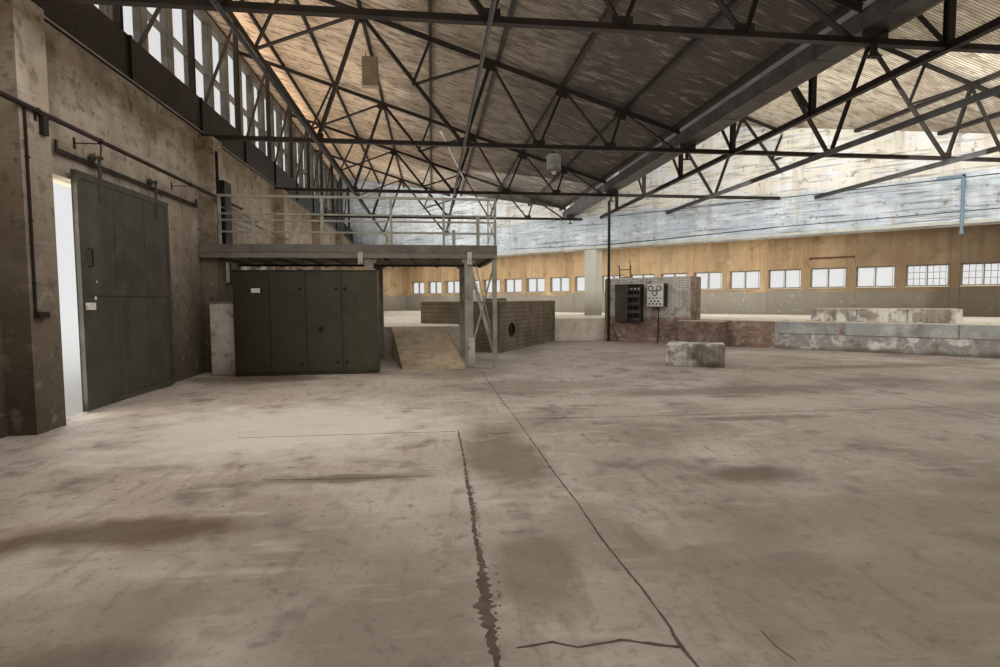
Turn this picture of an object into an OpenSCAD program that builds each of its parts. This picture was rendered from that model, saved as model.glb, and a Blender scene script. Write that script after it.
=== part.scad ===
// North-light factory hall: two saw-tooth roof bays over one open floor, cut off at 45 degrees
// by an end wall on a deep beam, with a lower annex and a raised floor behind it.
// Plan: x runs across the bays from the left wall, y runs along the gutters from the front wall,
// z is measured from the top of the floor. All lengths are millimetres.

/* [Hall] */
// Clear width of the hall between its side walls
hall_w = 24000; // [23000:100:25000]
// Clear length of the left wall, from the front wall to the slanted end wall
left_len = 35650; // [35000:50:36500]
// Thickness of the masonry walls
wall_t = 350; // [300:10:400]
// Thickness of the floor slab
floor_t = 250; // [200:10:300]
// Height of the side walls
wall_h = 5000; // [4900:20:5200]
// Width of a pilaster, centred on a truss
pilaster_w = 500; // [400:20:600]
// How far a pilaster stands out of its wall
pilaster_d = 300; // [250:10:400]

/* [Roof] */
// How far the first girder line lies outside the face of the left wall
girder_out = 150; // [120:10:180]
// Rafter line above the floor at the girder
ridge_z = 8750; // [8600:10:8900]
// Slope of the roof in degrees
roof_angle = 17.6; // [17:0.1:18]
// Thickness of a corrugated sheet over its waves
sheet_t = 50; // [30:2:60]
// Overhang of the sheets in front of the glazing
eave_out = 1050; // [800:10:1200]
// Room in plan between the foot of a slope and the next girder line
gutter_room = 1300; // [1250:10:1350]
// Overhang of the sheets past the front and end walls
verge_out = 80; // [40:5:100]
// Spacing of the purlins in plan
purlin_gap = 1490; // [1400:10:1500]
// Width of a purlin
purlin_w = 70; // [50:2:100]
// Depth of a purlin
purlin_h = 100; // [80:2:140]

/* [Trusses] */
// Distance from the front wall to the first truss
truss_y0 = 2400; // [2300:20:2600]
// Distance from the last truss to the far corner of the left wall
truss_end = 5750; // [5650:10:5850]
// Width of a truss over its double angles
truss_t = 100; // [80:5:140]
// Thickness of the plates and legs in the plane of a lattice
plate_t = 20; // [16:1:30]
// Thickness of the flanges across a lattice
flange_t = 12; // [10:1:16]
// Depth of the bottom chord
chord_h = 100; // [80:5:120]
// Depth of the rafter
rafter_h = 100; // [80:5:120]
// Width of a main web member
web_w = 80; // [60:5:100]
// Width of a light web member
thin_w = 50; // [40:5:60]

/* [Glazed girders] */
// Width of a girder post
post_w = 100; // [80:5:120]
// Depth of the girder chords
girder_chord = 120; // [100:5:140]
// Height of the dark upstand band over the left wall
band_h = 750; // [700:10:800]
// Distance from a girder out to the face of its glazing
glaze_out = 920; // [900:5:930]
// Top of the glazing above the floor
head_z = 8915; // [8880:5:8940]
// Height of the head rail of the glazing
head_h = 225; // [200:5:250]
// Foot of the glazing above the floor
foot_z = 6030; // [5950:10:6100]
// Height of the lower rails of the glazing
glaze_bar = 60; // [50:5:80]
// Depth of the glazing rails and mullions
glaze_d = 160; // [120:5:180]
// Spacing of the mullions
mullion_gap = 1144; // [1100:4:1180]
// Width of a mullion
mullion_w = 250; // [200:5:300]
// Thickness of the glass
glass_t = 10; // [6:1:12]

/* [Gutter and rails] */
// Height of the gutter bottom above the floor
gutter_z = 5100; // [5050:10:5150]
// Height of the gutter side towards the hall
gutter_h = 260; // [240:5:280]
// Thickness of the gutter plate
gutter_t = 12; // [8:1:20]
// Depth of a rail under the trusses
rail_h = 120; // [100:5:140]
// Width of a rail under the trusses
rail_w = 90; // [70:5:120]

/* [End wall and annex] */
// Underside of the deep beam that carries the end wall
beam_z = 3600; // [3500:10:3700]
// Clear depth from the face of the end wall to the back wall of the annex
annex_d = 4300; // [4200:20:4400]
// Thickness of the annex walls
annex_t = 300; // [250:10:320]
// Height of the annex back wall
annex_h = 4100; // [4050:10:4200]
// Thickness of the annex roof
annex_roof_t = 120; // [100:5:150]
// How far the annex roof reaches past the back wall
annex_eave = 150; // [100:10:200]
// Width of the end wall column
column_w = 550; // [450:10:600]
// How far the end wall column stands out of the end wall
column_out = 200; // [150:10:250]

/* [Windows] */
// Spacing of the paired windows
window_gap = 1570; // [1550:5:1600]
// Width of a window pair
window_w = 1250; // [1100:10:1300]
// Height of a window
window_h = 790; // [700:10:850]
// Height of the window sills above the floor
sill_z = 1900; // [1850:10:2000]
// Width of a window frame bar
frame_w = 45; // [35:2:55]
// Depth of a window frame
frame_d = 70; // [50:5:90]

/* [Raised floor] */
// Height of the raised floor
raised_h = 800; // [750:10:850]
// Distance from the end wall face to the face of the dwarf wall
dwarf_d = 3182; // [3150:10:3250]
// Thickness of the dwarf wall
dwarf_t = 230; // [200:5:260]
// Height of the dwarf wall
dwarf_h = 810; // [805:5:860]
// Length of the ramp
ramp_len = 2860; // [2800:10:2900]
// Width of the ramp
ramp_w = 1366; // [1300:2:1370]
// How far the ramp runs askew to the left
ramp_skew = 440; // [400:5:450]

/* [Sliding door] */
// Distance from the second truss to the left jamb of the doorway
door_after = 650; // [620:5:680]
// Width of the doorway
door_gap_w = 2350; // [2250:10:2400]
// Height of the doorway
door_gap_h = 3130; // [3000:10:3180]
// Width of the door panel
door_w = 2550; // [2500:10:2600]
// Height of the door panel
door_h = 3220; // [3200:5:3240]
// Thickness of the door panel
door_t = 60; // [40:5:80]
// How far the door is open in its rest position
door_open = 400; // [300:10:450]
// Gap between the wall and the door panel
door_off = 60; // [50:5:80]
// Height of the track above the floor
track_z = 3430; // [3420:5:3440]

/* [Mezzanine] */
// Top of the deck above the floor
deck_z = 2680; // [2650:10:2720]
// Thickness of the deck
deck_t = 280; // [260:10:300]
// How far the front edge of the deck lies before the third truss
deck_before = 430; // [410:5:440]
// Depth of the deck
deck_d = 2730; // [2600:10:2740]
// Length of the deck from the left wall
deck_l = 6180; // [6100:10:6250]
// Height of the railing
rail_top = 1020; // [950:10:1100]

/* [Fittings] */
// Width of one cabinet
cabinet_w = 697; // [680:1:710]
// Height of the cabinets
cabinet_h = 2100; // [2000:10:2150]
// Depth of the cabinets
cabinet_d = 500; // [450:10:520]
// Thickness of the cabinet sheet
cabinet_t = 20; // [12:1:25]
// Length of the switch block
block_l = 3040; // [2950:10:3100]
// Depth of the switch block
block_d = 1000; // [900:10:1050]
// Height of the switch block
block_h = 2220; // [2200:10:2300]
// Length of the tank along its front
tank_l = 4770; // [4700:10:4800]
// Depth of the tank
tank_d = 2600; // [2500:10:2650]
// Height of the tank
tank_h = 1450; // [1400:10:1500]
// Thickness of the tank walls
tank_t = 180; // [150:5:220]

/* [Hidden] */

root2 = sqrt(2);
purlin_first = 470;
slope = tan(roof_angle);
diag_l = hall_w * root2;
bay_w = hall_w / 2;
roof_run = bay_w - gutter_room;
truss_count = 6;
truss_gap = (left_len - truss_y0 - truss_end) / (truss_count - 1);
post_gap = truss_gap / 2;
// Clearance where two pieces lie against each other on a slant
seat = 0.3;

// Size of the whole building, which sets the origin at the middle of its base
x_low = -girder_out - eave_out;
x_high = (diag_l + annex_t + annex_d + annex_t + annex_eave) / root2;
y_low = -wall_t - verge_out;
y_high = left_len + (annex_t + annex_d + annex_t + annex_eave) / root2;

// Levels that follow from the roof line
under_sheet = rafter_h / 2 / cos(roof_angle) + seat + purlin_h + seat;
sheet_z = ridge_z + under_sheet;
chord_z = wall_h - chord_h;

// A point of the end wall's own frame, u along the wall and v outward, in plan
function at_uv(u, v) = [(u + v) / root2, left_len + (v - u) / root2];
// Height of the rafter line at a distance from its girder
function rafter_z(d) = ridge_z - slope * d;
// Girder line of a bay in plan
function girder_x(bay) = bay * bay_w - girder_out;
// Position of a truss
function truss_y(i) = truss_y0 + i * truss_gap;
// Outer face of the glazing of a bay
function glass_x(bay) = girder_x(bay) - glaze_out - glass_t;

// Fittings that keep their place beside a truss
door_y = truss_y(1) + door_after;
deck_y = truss_y(2) - deck_before;
raised_y = deck_y + deck_d;

module whole() {
    translate([-(x_low + x_high) / 2, -(y_low + y_high) / 2, floor_t]) children();
}

// Frame of the end wall
module slanted() {
    translate([0, left_len, 0]) rotate([0, 0, -45]) children();
}

// Upright prism over a plan polygon
module prism(points, z0, z1) {
    translate([0, 0, z0]) linear_extrude(z1 - z0) polygon(points);
}

// Everything inside the hall, up to a distance past the face of the end wall
module hall_prism(past = 0, side = 0, front = 0) {
    k = left_len + past * root2;
    xa = x_low - 10;
    xb = hall_w + side;
    prism([[xa, -front], [xb, -front], [xb, k - xb], [xa, k - xa]], -floor_t, sheet_z + 1000);
}

// A profile in x and z, drawn out along y
module along_y(points, y0, y1) {
    translate([0, y1, 0]) rotate([90, 0, 0]) linear_extrude(y1 - y0) polygon(points);
}

// A profile in y and z, drawn out along x
module along_x(x0, x1) {
    translate([x0, 0, 0]) rotate([90, 0, 90]) linear_extrude(x1 - x0) children();
}

// A flat bar between two points, as a 2D shape, and the flange along its lower edge, which stands
// a little proud of it and ends short of its ends
edge_proud = 3;
edge_short = 15;
module bar(a, b, w) {
    d = b - a;
    translate(a) rotate(atan2(d[1], d[0])) translate([0, -w / 2]) square([norm(d), w]);
}
module bar_edge(a, b, w) {
    d = b - a;
    translate(a) rotate(atan2(d[1], d[0])) translate([edge_short, -w / 2 - edge_proud])
        square([norm(d) - 2 * edge_short, flange_t]);
}

// Outline of the walls that reach up to the saw-tooth roof, in x and z
eaves_z = wall_h - 150;
function tooth(x0, x1, base) = let (
    low = gutter_z + gutter_h,
    run0 = girder_x(0) + roof_run,
    run1 = girder_x(1) + roof_run,
    z = function (x, bay) sheet_z - seat - slope * (x - girder_x(bay)))
    [[x0, base], [x0, eaves_z], [glass_x(0), eaves_z], [glass_x(0), z(glass_x(0), 0)], [run0, z(run0, 0)],
     [run0, low], [glass_x(1), low], [glass_x(1), z(glass_x(1), 1)], [run1, z(run1, 1)], [run1, low],
     [x1, low], [x1, base]];

// Row of paired windows, as boxes that run through a wall standing along x
module window_holes(first, count, gap, depth) {
    for (i = [0 : count - 1])
        translate([first + i * gap - window_w / 2, -1, sill_z]) cube([window_w, depth + 2, window_h]);
}

// Frame of a window pair in the x-z plane, standing in its opening
module window_pair() {
    pane = (window_w - 3 * frame_w) / 2;
    difference() {
        cube([window_w, frame_d, window_h]);
        for (i = [0, 1])
            translate([frame_w + i * (pane + frame_w), -1, frame_w])
                cube([pane, frame_d + 2, window_h - 2 * frame_w]);
    }
}

module window_pairs(first, count, gap, setback) {
    for (i = [0 : count - 1])
        translate([first + i * gap - window_w / 2, setback, sill_z]) window_pair();
}

module window_panes(first, count, gap, setback) {
    for (i = [0 : count - 1])
        translate([first + i * gap - window_w / 2, setback - glass_t, sill_z])
            cube([window_w, glass_t, window_h]);
}

// Where each row of windows stands: the annex back wall, the front, the right and the left wall
annex_first = 1100;
annex_count = floor((diag_l - 2 * annex_first) / window_gap) + 1;
front_first = 3000;
front_gap = 3000;
front_count = floor((hall_w - front_first - 2000) / front_gap) + 1;
right_first = 2600;
right_gap = 3200;
right_count = floor((left_len - hall_w - right_first - 1300) / right_gap) + 1;
left_count = floor((truss_gap - pilaster_w - window_w) / window_gap) + 1;
left_side = (truss_gap - (left_count - 1) * window_gap) / 2;
window_set = 150;

module on_annex_back() {
    slanted() translate([0, annex_d, 0]) children();
}
module on_left() {
    rotate([0, 0, 90]) children();
}

module floor_slab() {
    color("darkgray")
        prism([[0, 0], [hall_w, 0], [hall_w, left_len - hall_w + root2 * seat],
               at_uv(diag_l - seat, annex_d - seat), at_uv(seat, annex_d - seat),
               [0, left_len - root2 * seat]], -floor_t, 0);
}

// The tank stands askew in the edge of the raised floor
tank_at = [6630, raised_y + 540];
tank_turn = 58.4;
cover_t = 100;
function tank_corner(a, b) = tank_at + a * [cos(tank_turn), sin(tank_turn)]
    + b * [-sin(tank_turn), cos(tank_turn)];

// The switch block stands in the edge as well, and both share its frame
block_u = 18790;
block_v = -3444;
raised_x = 5490;
raised_edge_v = -dwarf_d + dwarf_t + seat;
block_edge_v = block_v + 526;

module raised_floor() {
    a = tank_corner(-seat, 0);
    d = tank_corner(-seat, tank_d + seat);
    t = (raised_x - a[0]) / (d[0] - a[0]);
    block_end = block_u + block_l + seat;
    block_back = block_v + block_d + seat;
    color("gray")
        prism([[0, raised_y], [raised_x, raised_y], [raised_x, a[1] + t * (d[1] - a[1])], d,
               tank_corner(tank_l + seat, tank_d + seat), tank_corner(tank_l + seat, 0),
               at_uv(block_u - seat, block_edge_v), at_uv(block_u - seat, block_back),
               at_uv(block_end, block_back), at_uv(block_end, raised_edge_v),
               at_uv(diag_l - raised_edge_v, raised_edge_v), [hall_w, left_len - hall_w + root2 * seat],
               at_uv(diag_l - seat, annex_d - seat), at_uv(seat, annex_d - seat),
               [0, left_len - root2 * seat]], 0, raised_h);
}

// The ramp runs askew between the cabinets and the posts of the mezzanine
ramp_x = 4114;

module ramp() {
    foot = raised_y - ramp_len;
    crest = 600;
    crest_drop = 130;
    intersection() {
        color("lightgray") along_x(ramp_x - ramp_skew, ramp_x + ramp_w)
            polygon([[foot, 0], [raised_y, 0], [raised_y, raised_h],
                     [raised_y - crest, raised_h - crest_drop]]);
        prism([[ramp_x, foot], [ramp_x + ramp_w, foot], [ramp_x + ramp_w - ramp_skew, raised_y],
               [ramp_x - ramp_skew, raised_y]], 0, raised_h);
    }
}

module front_wall() {
    color("tan") difference() {
        along_y(tooth(-wall_t, hall_w + wall_t, -floor_t), -wall_t, 0);
        translate([0, -wall_t, 0]) window_holes(front_first, front_count, front_gap, wall_t);
    }
}

module left_wall_front() {
    color("tan") translate([-wall_t, 0, -floor_t]) cube([wall_t, door_y, wall_h + floor_t]);
}

module left_wall_rear() {
    y0 = door_y + door_gap_w;
    color("tan") difference() {
        prism([[-wall_t, y0], [0, y0], [0, left_len], [-wall_t, left_len + wall_t]], -floor_t, wall_h);
        on_left() for (i = [2 : truss_count - 1])
            window_holes(truss_y(i) + left_side, left_count, window_gap, wall_t);
    }
}

module left_wall_over_door() {
    color("tan") translate([-wall_t, door_y, door_gap_h]) cube([wall_t, door_gap_w, wall_h - door_gap_h]);
}

module right_wall() {
    k = left_len;
    color("tan") difference() {
        prism([[hall_w, 0], [hall_w + wall_t, 0], [hall_w + wall_t, k - hall_w - wall_t],
               [hall_w, k - hall_w]], -floor_t, gutter_z + gutter_h);
        translate([hall_w, 0, 0]) mirror([1, 0, 0]) on_left()
            window_holes(right_first, right_count, right_gap, wall_t);
    }
}

module wall_pilasters() {
    color("tan") {
        for (i = [0 : truss_count - 1])
            translate([0, truss_y(i) - pilaster_w / 2, i < 3 ? 0 : raised_h])
                cube([pilaster_d, pilaster_w, chord_z - (i < 3 ? 0 : raised_h)]);
        translate([hall_w - pilaster_d, truss_y(0) - pilaster_w / 2, 0])
            cube([pilaster_d, pilaster_w, chord_z]);
        translate([hall_w - pilaster_d, truss_y(1) - pilaster_w / 2, raised_h])
            cube([pilaster_d, pilaster_w, chord_z - raised_h]);
    }
}

module end_wall() {
    side = 1700;
    color("wheat") intersection() {
        along_y(tooth(-wall_t, hall_w + wall_t, beam_z), left_len - hall_w - 2 * wall_t, left_len + side);
        slanted() {
            translate([-annex_t, 0, beam_z]) cube([diag_l + 2 * annex_t, wall_t, 6000]);
            translate([-side, 0, eaves_z]) cube([side, wall_t, 6000]);
        }
    }
}

module end_wall_column() {
    color("whitesmoke") slanted() translate([16150, -column_out, raised_h])
        cube([column_w, column_out + wall_t, beam_z - raised_h]);
}

module beam_ledge() {
    out = 60;
    color("gainsboro") slanted() translate([out, -out, beam_z + 40]) cube([diag_l - 2 * out, out, 90]);
}

module annex_back_wall() {
    color("tan") difference() {
        slanted() translate([-annex_t, annex_d, -floor_t])
            cube([diag_l + 2 * annex_t, annex_t, annex_h + floor_t]);
        on_annex_back() window_holes(annex_first, annex_count, window_gap, annex_t);
    }
}

// Slope of the annex roof, which falls from the end wall to the back wall
annex_top = wall_h - 100;
function annex_z(v) = annex_top + (annex_h - annex_top) * (v - wall_t) / (annex_d - wall_t);

module annex_end_walls() {
    color("tan") slanted()
        for (u = [-annex_t, diag_l])
            translate([u, 0, 0]) rotate([90, 0, 90]) linear_extrude(annex_t)
                polygon([[0, -floor_t], [annex_d, -floor_t], [annex_d, annex_h], [wall_t, annex_top],
                         [wall_t, beam_z], [0, beam_z]]);
}

module annex_roof() {
    v1 = annex_d + annex_t + annex_eave;
    color("slategray") slanted()
        translate([-annex_t, 0, 0]) rotate([90, 0, 90]) linear_extrude(diag_l + 2 * annex_t)
            polygon([[wall_t, annex_z(wall_t)], [annex_d, annex_h], [annex_d + annex_t, annex_h],
                     [v1, annex_h], [v1, annex_h + 80], [wall_t, annex_z(wall_t) + annex_roof_t]]);
}

// Concrete eaves outside the left wall, with the upstand that carries the glazing
module eaves_slab() {
    x0 = glass_x(0);
    x1 = girder_x(0) - glaze_out;
    color("darkgray") {
        prism([[x0, 0], [-wall_t, 0], [-wall_t, left_len + wall_t], [x0, left_len - x0]], eaves_z, wall_h);
        prism([[x1, 0], [x1 + glaze_d, 0], [x1 + glaze_d, left_len - x1 - glaze_d], [x1, left_len - x1]],
              wall_h, foot_z);
    }
}

module window_frames() {
    color("dimgray") {
        on_annex_back() window_pairs(annex_first, annex_count, window_gap, window_set);
        translate([0, -wall_t, 0]) window_pairs(front_first, front_count, front_gap, window_set);
        on_left() for (i = [2 : truss_count - 1])
            window_pairs(truss_y(i) + left_side, left_count, window_gap, window_set);
        translate([hall_w, 0, 0]) mirror([1, 0, 0]) on_left()
            window_pairs(right_first, right_count, right_gap, window_set);
    }
}

module window_glass() {
    color("lightcyan") {
        on_annex_back() window_panes(annex_first, annex_count, window_gap, window_set);
        translate([0, -wall_t, 0]) window_panes(front_first, front_count, front_gap, window_set);
        on_left() for (i = [2 : truss_count - 1])
            window_panes(truss_y(i) + left_side, left_count, window_gap, window_set);
        translate([hall_w, 0, 0]) mirror([1, 0, 0]) on_left()
            window_panes(right_first, right_count, right_gap, window_set);
    }
}

// One slope of sheets, cut off along the end wall
module roof_sheet(bay) {
    g = girder_x(bay);
    d1 = roof_run + 60;
    z0 = sheet_z + slope * eave_out;
    z1 = sheet_z - slope * d1;
    color("rosybrown") intersection() {
        along_y([[g - eave_out, z0], [g + d1, z1], [g + d1, z1 + sheet_t], [g - eave_out, z0 + sheet_t]],
                y_low, left_len + 3000);
        hall_prism(past = wall_t + verge_out, side = 0, front = -y_low);
    }
}

module roof_sheet_left() { roof_sheet(0); }
module roof_sheet_right() { roof_sheet(1); }

// Channels on top of the rafters, open towards the valley
module purlin(x, z) {
    a = x - purlin_w / 2;
    b = x + purlin_w / 2;
    c = a + purlin_t;
    function up(px, h) = [px, z - slope * (px - x) + h];
    along_y([up(a, 0), up(b, 0), up(b, purlin_t), up(c, purlin_t), up(c, purlin_h - purlin_t),
             up(b, purlin_h - purlin_t), up(b, purlin_h), up(a, purlin_h)], 0, left_len + 2000);
}

purlin_t = 10;
purlin_last = roof_run - 90;

module purlins() {
    color("dimgray") intersection() {
        for (bay = [0, 1],
             d = [purlin_w - eave_out, each [purlin_first : purlin_gap : purlin_last - 2 * purlin_w],
                  purlin_last])
            purlin(girder_x(bay) + d, sheet_z - seat - purlin_h - slope * d);
        hall_prism();
    }
}

// Points of a truss, measured from its girder line. The web is laid out over 10.7 m and follows the run
web_k = roof_run / 10700;
function rafter_at(d) = [d, rafter_z(d)];
function on_rafter(d) = rafter_at(d * web_k);
function on_chord(d) = [d * web_k, chord_z + chord_h / 2];
sub_1 = [1250 * web_k, 6800];
sub_2 = [4540 * web_k, 6200];
rafter_ends = [-eave_out, roof_run - 20];

// Web members of a truss: from, to and width
web_bars = [
    [on_rafter(0), on_chord(2490), web_w], [on_chord(2490), on_rafter(3450), web_w],
    [on_rafter(3450), on_chord(5650), web_w], [on_chord(5650), on_rafter(6260), web_w],
    [on_rafter(6260), on_chord(7350), thin_w], [on_chord(7350), on_rafter(7910), thin_w],
    [on_rafter(7910), on_chord(9010), thin_w], [on_chord(9010), on_rafter(9280), thin_w],
    [on_rafter(9280), on_chord(10600), thin_w], [sub_1, on_rafter(1900), thin_w],
    [sub_1, on_rafter(3450), thin_w], [sub_2, on_rafter(4940), thin_w], [sub_2, on_rafter(6260), thin_w]];
chord_nodes = [2490, 5650, 7350, 9010];
rafter_nodes = [3450, 6260, 7910, 9280];

// Cuts the rafter off at its ends
module rafter_length(short) {
    intersection() {
        children();
        translate([rafter_ends[0] + short, 0])
            square([rafter_ends[1] - rafter_ends[0] - 2 * short, sheet_z + 1000]);
    }
}

// Cuts the web off at the girder
module beside_girder() {
    intersection() {
        children();
        translate([post_w / 2, 0]) square([bay_w, sheet_z]);
    }
}

// The plates of a truss: chord, rafter, web and gussets
module truss_plates(x0, x1) {
    translate([x0, chord_z + edge_proud]) square([x1 - x0, chord_h - edge_proud]);
    rafter_length(0) bar(rafter_at(rafter_ends[0] - 200), rafter_at(rafter_ends[1] + 200), rafter_h);
    beside_girder() {
        for (b = web_bars) bar(b[0], b[1], b[2]);
        for (d = chord_nodes)
            translate([on_chord(d)[0] - gusset / 2, chord_z + edge_proud]) square([gusset, gusset * 2 / 3]);
        for (d = rafter_nodes)
            translate(on_rafter(d)) rotate(-roof_angle) translate([-gusset / 2, -gusset * 2 / 3])
                square([gusset, gusset * 2 / 3]);
    }
}

// The flanges of a truss, which lie across its plates
module truss_flanges(x0, x1) {
    translate([x0 + edge_short, chord_z]) square([x1 - x0 - 2 * edge_short, flange_t]);
    rafter_length(edge_short) translate([0, ((rafter_h - flange_t) / 2 - edge_proud) / cos(roof_angle)])
        bar(rafter_at(rafter_ends[0] - 200), rafter_at(rafter_ends[1] + 200), flange_t);
    beside_girder() for (b = web_bars) bar_edge(b[0], b[1], b[2]);
}

gusset = 280;

module truss(i) {
    start = post_w / 2;
    color("dimgray") intersection() {
        for (bay = [0, 1]) {
            x0 = bay == 0 ? girder_out : start;
            x1 = bay == 0 ? bay_w - start : hall_w - girder_x(1);
            translate([girder_x(bay), truss_y(i), 0]) rotate([90, 0, 0]) {
                translate([0, 0, -plate_t / 2]) linear_extrude(plate_t) truss_plates(x0, x1);
                translate([0, 0, -truss_t / 2]) linear_extrude(truss_t) truss_flanges(x0, x1);
            }
        }
        hall_prism();
    }
}

module chord_rail(x, w, h) {
    y1 = left_len - x + w;
    intersection() {
        union() {
            translate([x - w / 2, 0, chord_z - flange_t]) cube([w, y1, flange_t]);
            translate([x - plate_t / 2, 0, chord_z - h]) cube([plate_t, y1, h]);
        }
        hall_prism();
    }
}

// The rails of each bay, measured from its girder line as the web is
left_rails = [2500, 5650];
right_rails = [2050, 5650];
thin_rail = 60;

module chord_rails() {
    color("gray") {
        for (d = left_rails) chord_rail(girder_x(0) + on_chord(d)[0], thin_rail, thin_rail);
        for (d = right_rails) chord_rail(girder_x(1) + on_chord(d)[0], rail_w, rail_h);
    }
}

// Deep lattice girder that carries the trusses of a bay
module girder(x, base, y1) {
    top = rafter_z(post_w / 2) - rafter_h / 2 / cos(roof_angle) - girder_chord;
    posts = floor((y1 - truss_y0) / post_gap);
    function post_y(i) = truss_y0 + i * post_gap;
    module flat(w) { along_x(x - w / 2, x + w / 2) children(); }
    flat(plate_t) {
        translate([0, base]) square([y1, girder_chord]);
        translate([0, top]) square([y1, girder_chord]);
        for (i = [0 : posts]) translate([post_y(i) - post_w / 2, base]) square([post_w, top - base]);
    }
    flat(post_w) {
        translate([0, base]) square([y1, flange_t]);
        translate([0, top + girder_chord - flange_t]) square([y1, flange_t]);
        for (i = [0 : posts], side = [-1, 1])
            translate([post_y(i) + side * (post_w - flange_t) / 2 - flange_t / 2, base])
                square([flange_t, top - base + flange_t]);
    }
    flat(thin_w)
        for (i = [0 : posts - 1])
            bar([post_y(i), base + girder_chord / 2], [post_y(i + 1), top + girder_chord / 2], thin_w);
}

module left_girder() {
    color("dimgray") girder(girder_x(0), wall_h, left_len + girder_out - post_w / 2);
}

module valley_girder() {
    color("dimgray") girder(girder_x(1), chord_z - 20, left_len - girder_x(1) - post_w / 2);
}

module upstand_band() {
    posts = floor((left_len - truss_y0) / post_gap);
    rib = 40;
    edge = 60;
    color("black") {
        translate([-edge, 0, wall_h]) cube([edge, left_len, band_h]);
        translate([-edge, 0, wall_h]) cube([2 * edge, left_len - edge, flange_t]);
        for (i = [0 : posts])
            translate([-edge, truss_y0 + i * post_gap - edge / 2, wall_h]) cube([edge + rib, edge, band_h]);
    }
}

// Glazing of one bay: two rows of panes between mullions that keep their own spacing
module glazing(bay) {
    x = girder_x(bay) - glaze_out;
    y1 = left_len - x - glaze_d;
    pane_h = (head_z - head_h - foot_z - 2 * glaze_bar) / 2;
    along_x(x, x + glaze_d) difference() {
        translate([0, foot_z]) square([y1, head_z - foot_z]);
        for (y = [mullion_first : mullion_gap : y1 - mullion_gap], j = [0, 1])
            translate([y, foot_z + glaze_bar + j * (pane_h + glaze_bar)])
                square([mullion_gap - mullion_w, pane_h]);
    }
}

// The first pane begins here
mullion_first = 664;

module glazing_frames() {
    x = girder_x(1) - glaze_out;
    apron_z = gutter_z + 60;
    color("gray") {
        glazing(0);
        glazing(1);
        translate([x, 0, apron_z]) cube([glaze_d, left_len - x - glaze_d, foot_z - apron_z]);
    }
}

module glazing_glass() {
    color("lightcyan") for (bay = [0, 1])
        translate([glass_x(bay), 0, foot_z])
            cube([glass_t, left_len - glass_x(bay) - glass_t - glaze_d, head_z - foot_z]);
}

// Left and right edge of each gutter
gutter_x = [[girder_x(0) + roof_run, girder_x(1) - glaze_out], [girder_x(1) + roof_run, hall_w]];

// Gutter floors, which lie on blocks on the chords of the trusses
module gutter_floors() {
    color("silver") for (g = gutter_x) {
        intersection() {
            translate([g[0], 0, gutter_z]) cube([g[1] - g[0], left_len - g[0], gutter_t]);
            hall_prism();
        }
        for (i = [0 : truss_count - 1])
            if (truss_y(i) + truss_t < left_len - g[1])
                translate([g[0], truss_y(i) - plate_t / 2, wall_h])
                    cube([g[1] - g[0], plate_t, gutter_z - wall_h]);
    }
}

module gutter_sides() {
    z = gutter_z + gutter_t;
    color("silver") intersection() {
        for (g = gutter_x, x = [g[0], g[1] - gutter_t])
            translate([x, 0, z]) cube([gutter_t, left_len - x, gutter_h - gutter_t]);
        hall_prism();
    }
}

track_y = door_y + 100;
track_clear = 250;
track_l = truss_y(2) - pilaster_w / 2 - track_clear - track_y;

module door_track() {
    color("dimgray") {
        translate([door_off - 30, track_y, track_z - 30]) cube([20, track_l, 60]);
        for (y = [100, 1950, track_l - 200])
            translate([0, track_y + y, track_z - 20]) cube([door_off - 30, 60, 40]);
        for (y = [0, track_l - 40]) translate([door_off - 30, track_y + y, track_z]) cube([20, 40, 130]);
    }
}

// The panel has a rim of flat bars and hangs on two wheels
door_rest_y = door_y - 60 + door_open;
rim_w = 90;
rim_t = 10;
strap_y = [540, door_w - 410];
wheel_z = track_z + 30 + 60.5;

module sliding_door() {
    x = door_off + door_t;
    color("dimgray") translate([0, door_rest_y, 0]) {
        translate([door_off, 0, 20]) cube([door_t, door_w, door_h]);
        along_x(x, x + rim_t) difference() {
            translate([0, 20]) square([door_w, door_h]);
            for (z = [0, 1])
                translate([rim_w, 20 + rim_w + z * (door_h - rim_w) / 2])
                    square([door_w - 2 * rim_w, (door_h - 3 * rim_w) / 2]);
        }
        for (y = strap_y) {
            translate([x, y - 40, door_h - 300]) cube([12, 80, 620]);
            translate([door_off - 5, y, wheel_z]) rotate([0, 90, 0])
                cylinder(h = door_t + 5 + 12, r = 15, $fn = 24);
            translate([door_off - 30, y, wheel_z]) rotate([0, 90, 0]) cylinder(h = 25, r = 60, $fn = 48);
        }
    }
}

module mezzanine_deck() {
    color("darkgray") difference() {
        translate([0, deck_y, deck_z - deck_t]) cube([deck_l, deck_d, deck_t]);
        translate([-1, truss_y(2) - pilaster_w / 2, 0]) cube([pilaster_d + 1, pilaster_w, deck_z + 100]);
    }
}

// Posts carry the deck in two pairs and at its right end, where two bars brace it
post_x = [3330, 5470];
end_post_x = deck_l - 94;

module mezzanine_posts() {
    low = deck_z - deck_t;
    front = deck_y + 40;
    color("silver") {
        for (x = post_x, y = [front, deck_y + deck_d - 400]) {
            translate([x, y, 0]) cube([180, 150, low]);
            translate([x - 60, y + 20, low - 90]) cube([300, 110, 90]);
        }
        translate([end_post_x, front, 0]) cube([90, 90, low]);
        translate([0, front + 70, 0]) rotate([90, 0, 0]) linear_extrude(20) intersection() {
            union() {
                bar([post_x[1] + 90, 2300], [end_post_x + 45, 250], 80);
                bar([post_x[1] + 90, 250], [end_post_x + 45, 2300], 40);
            }
            translate([post_x[1] + 90, 0]) square([end_post_x - post_x[1] - 45, low]);
        }
    }
}

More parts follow.
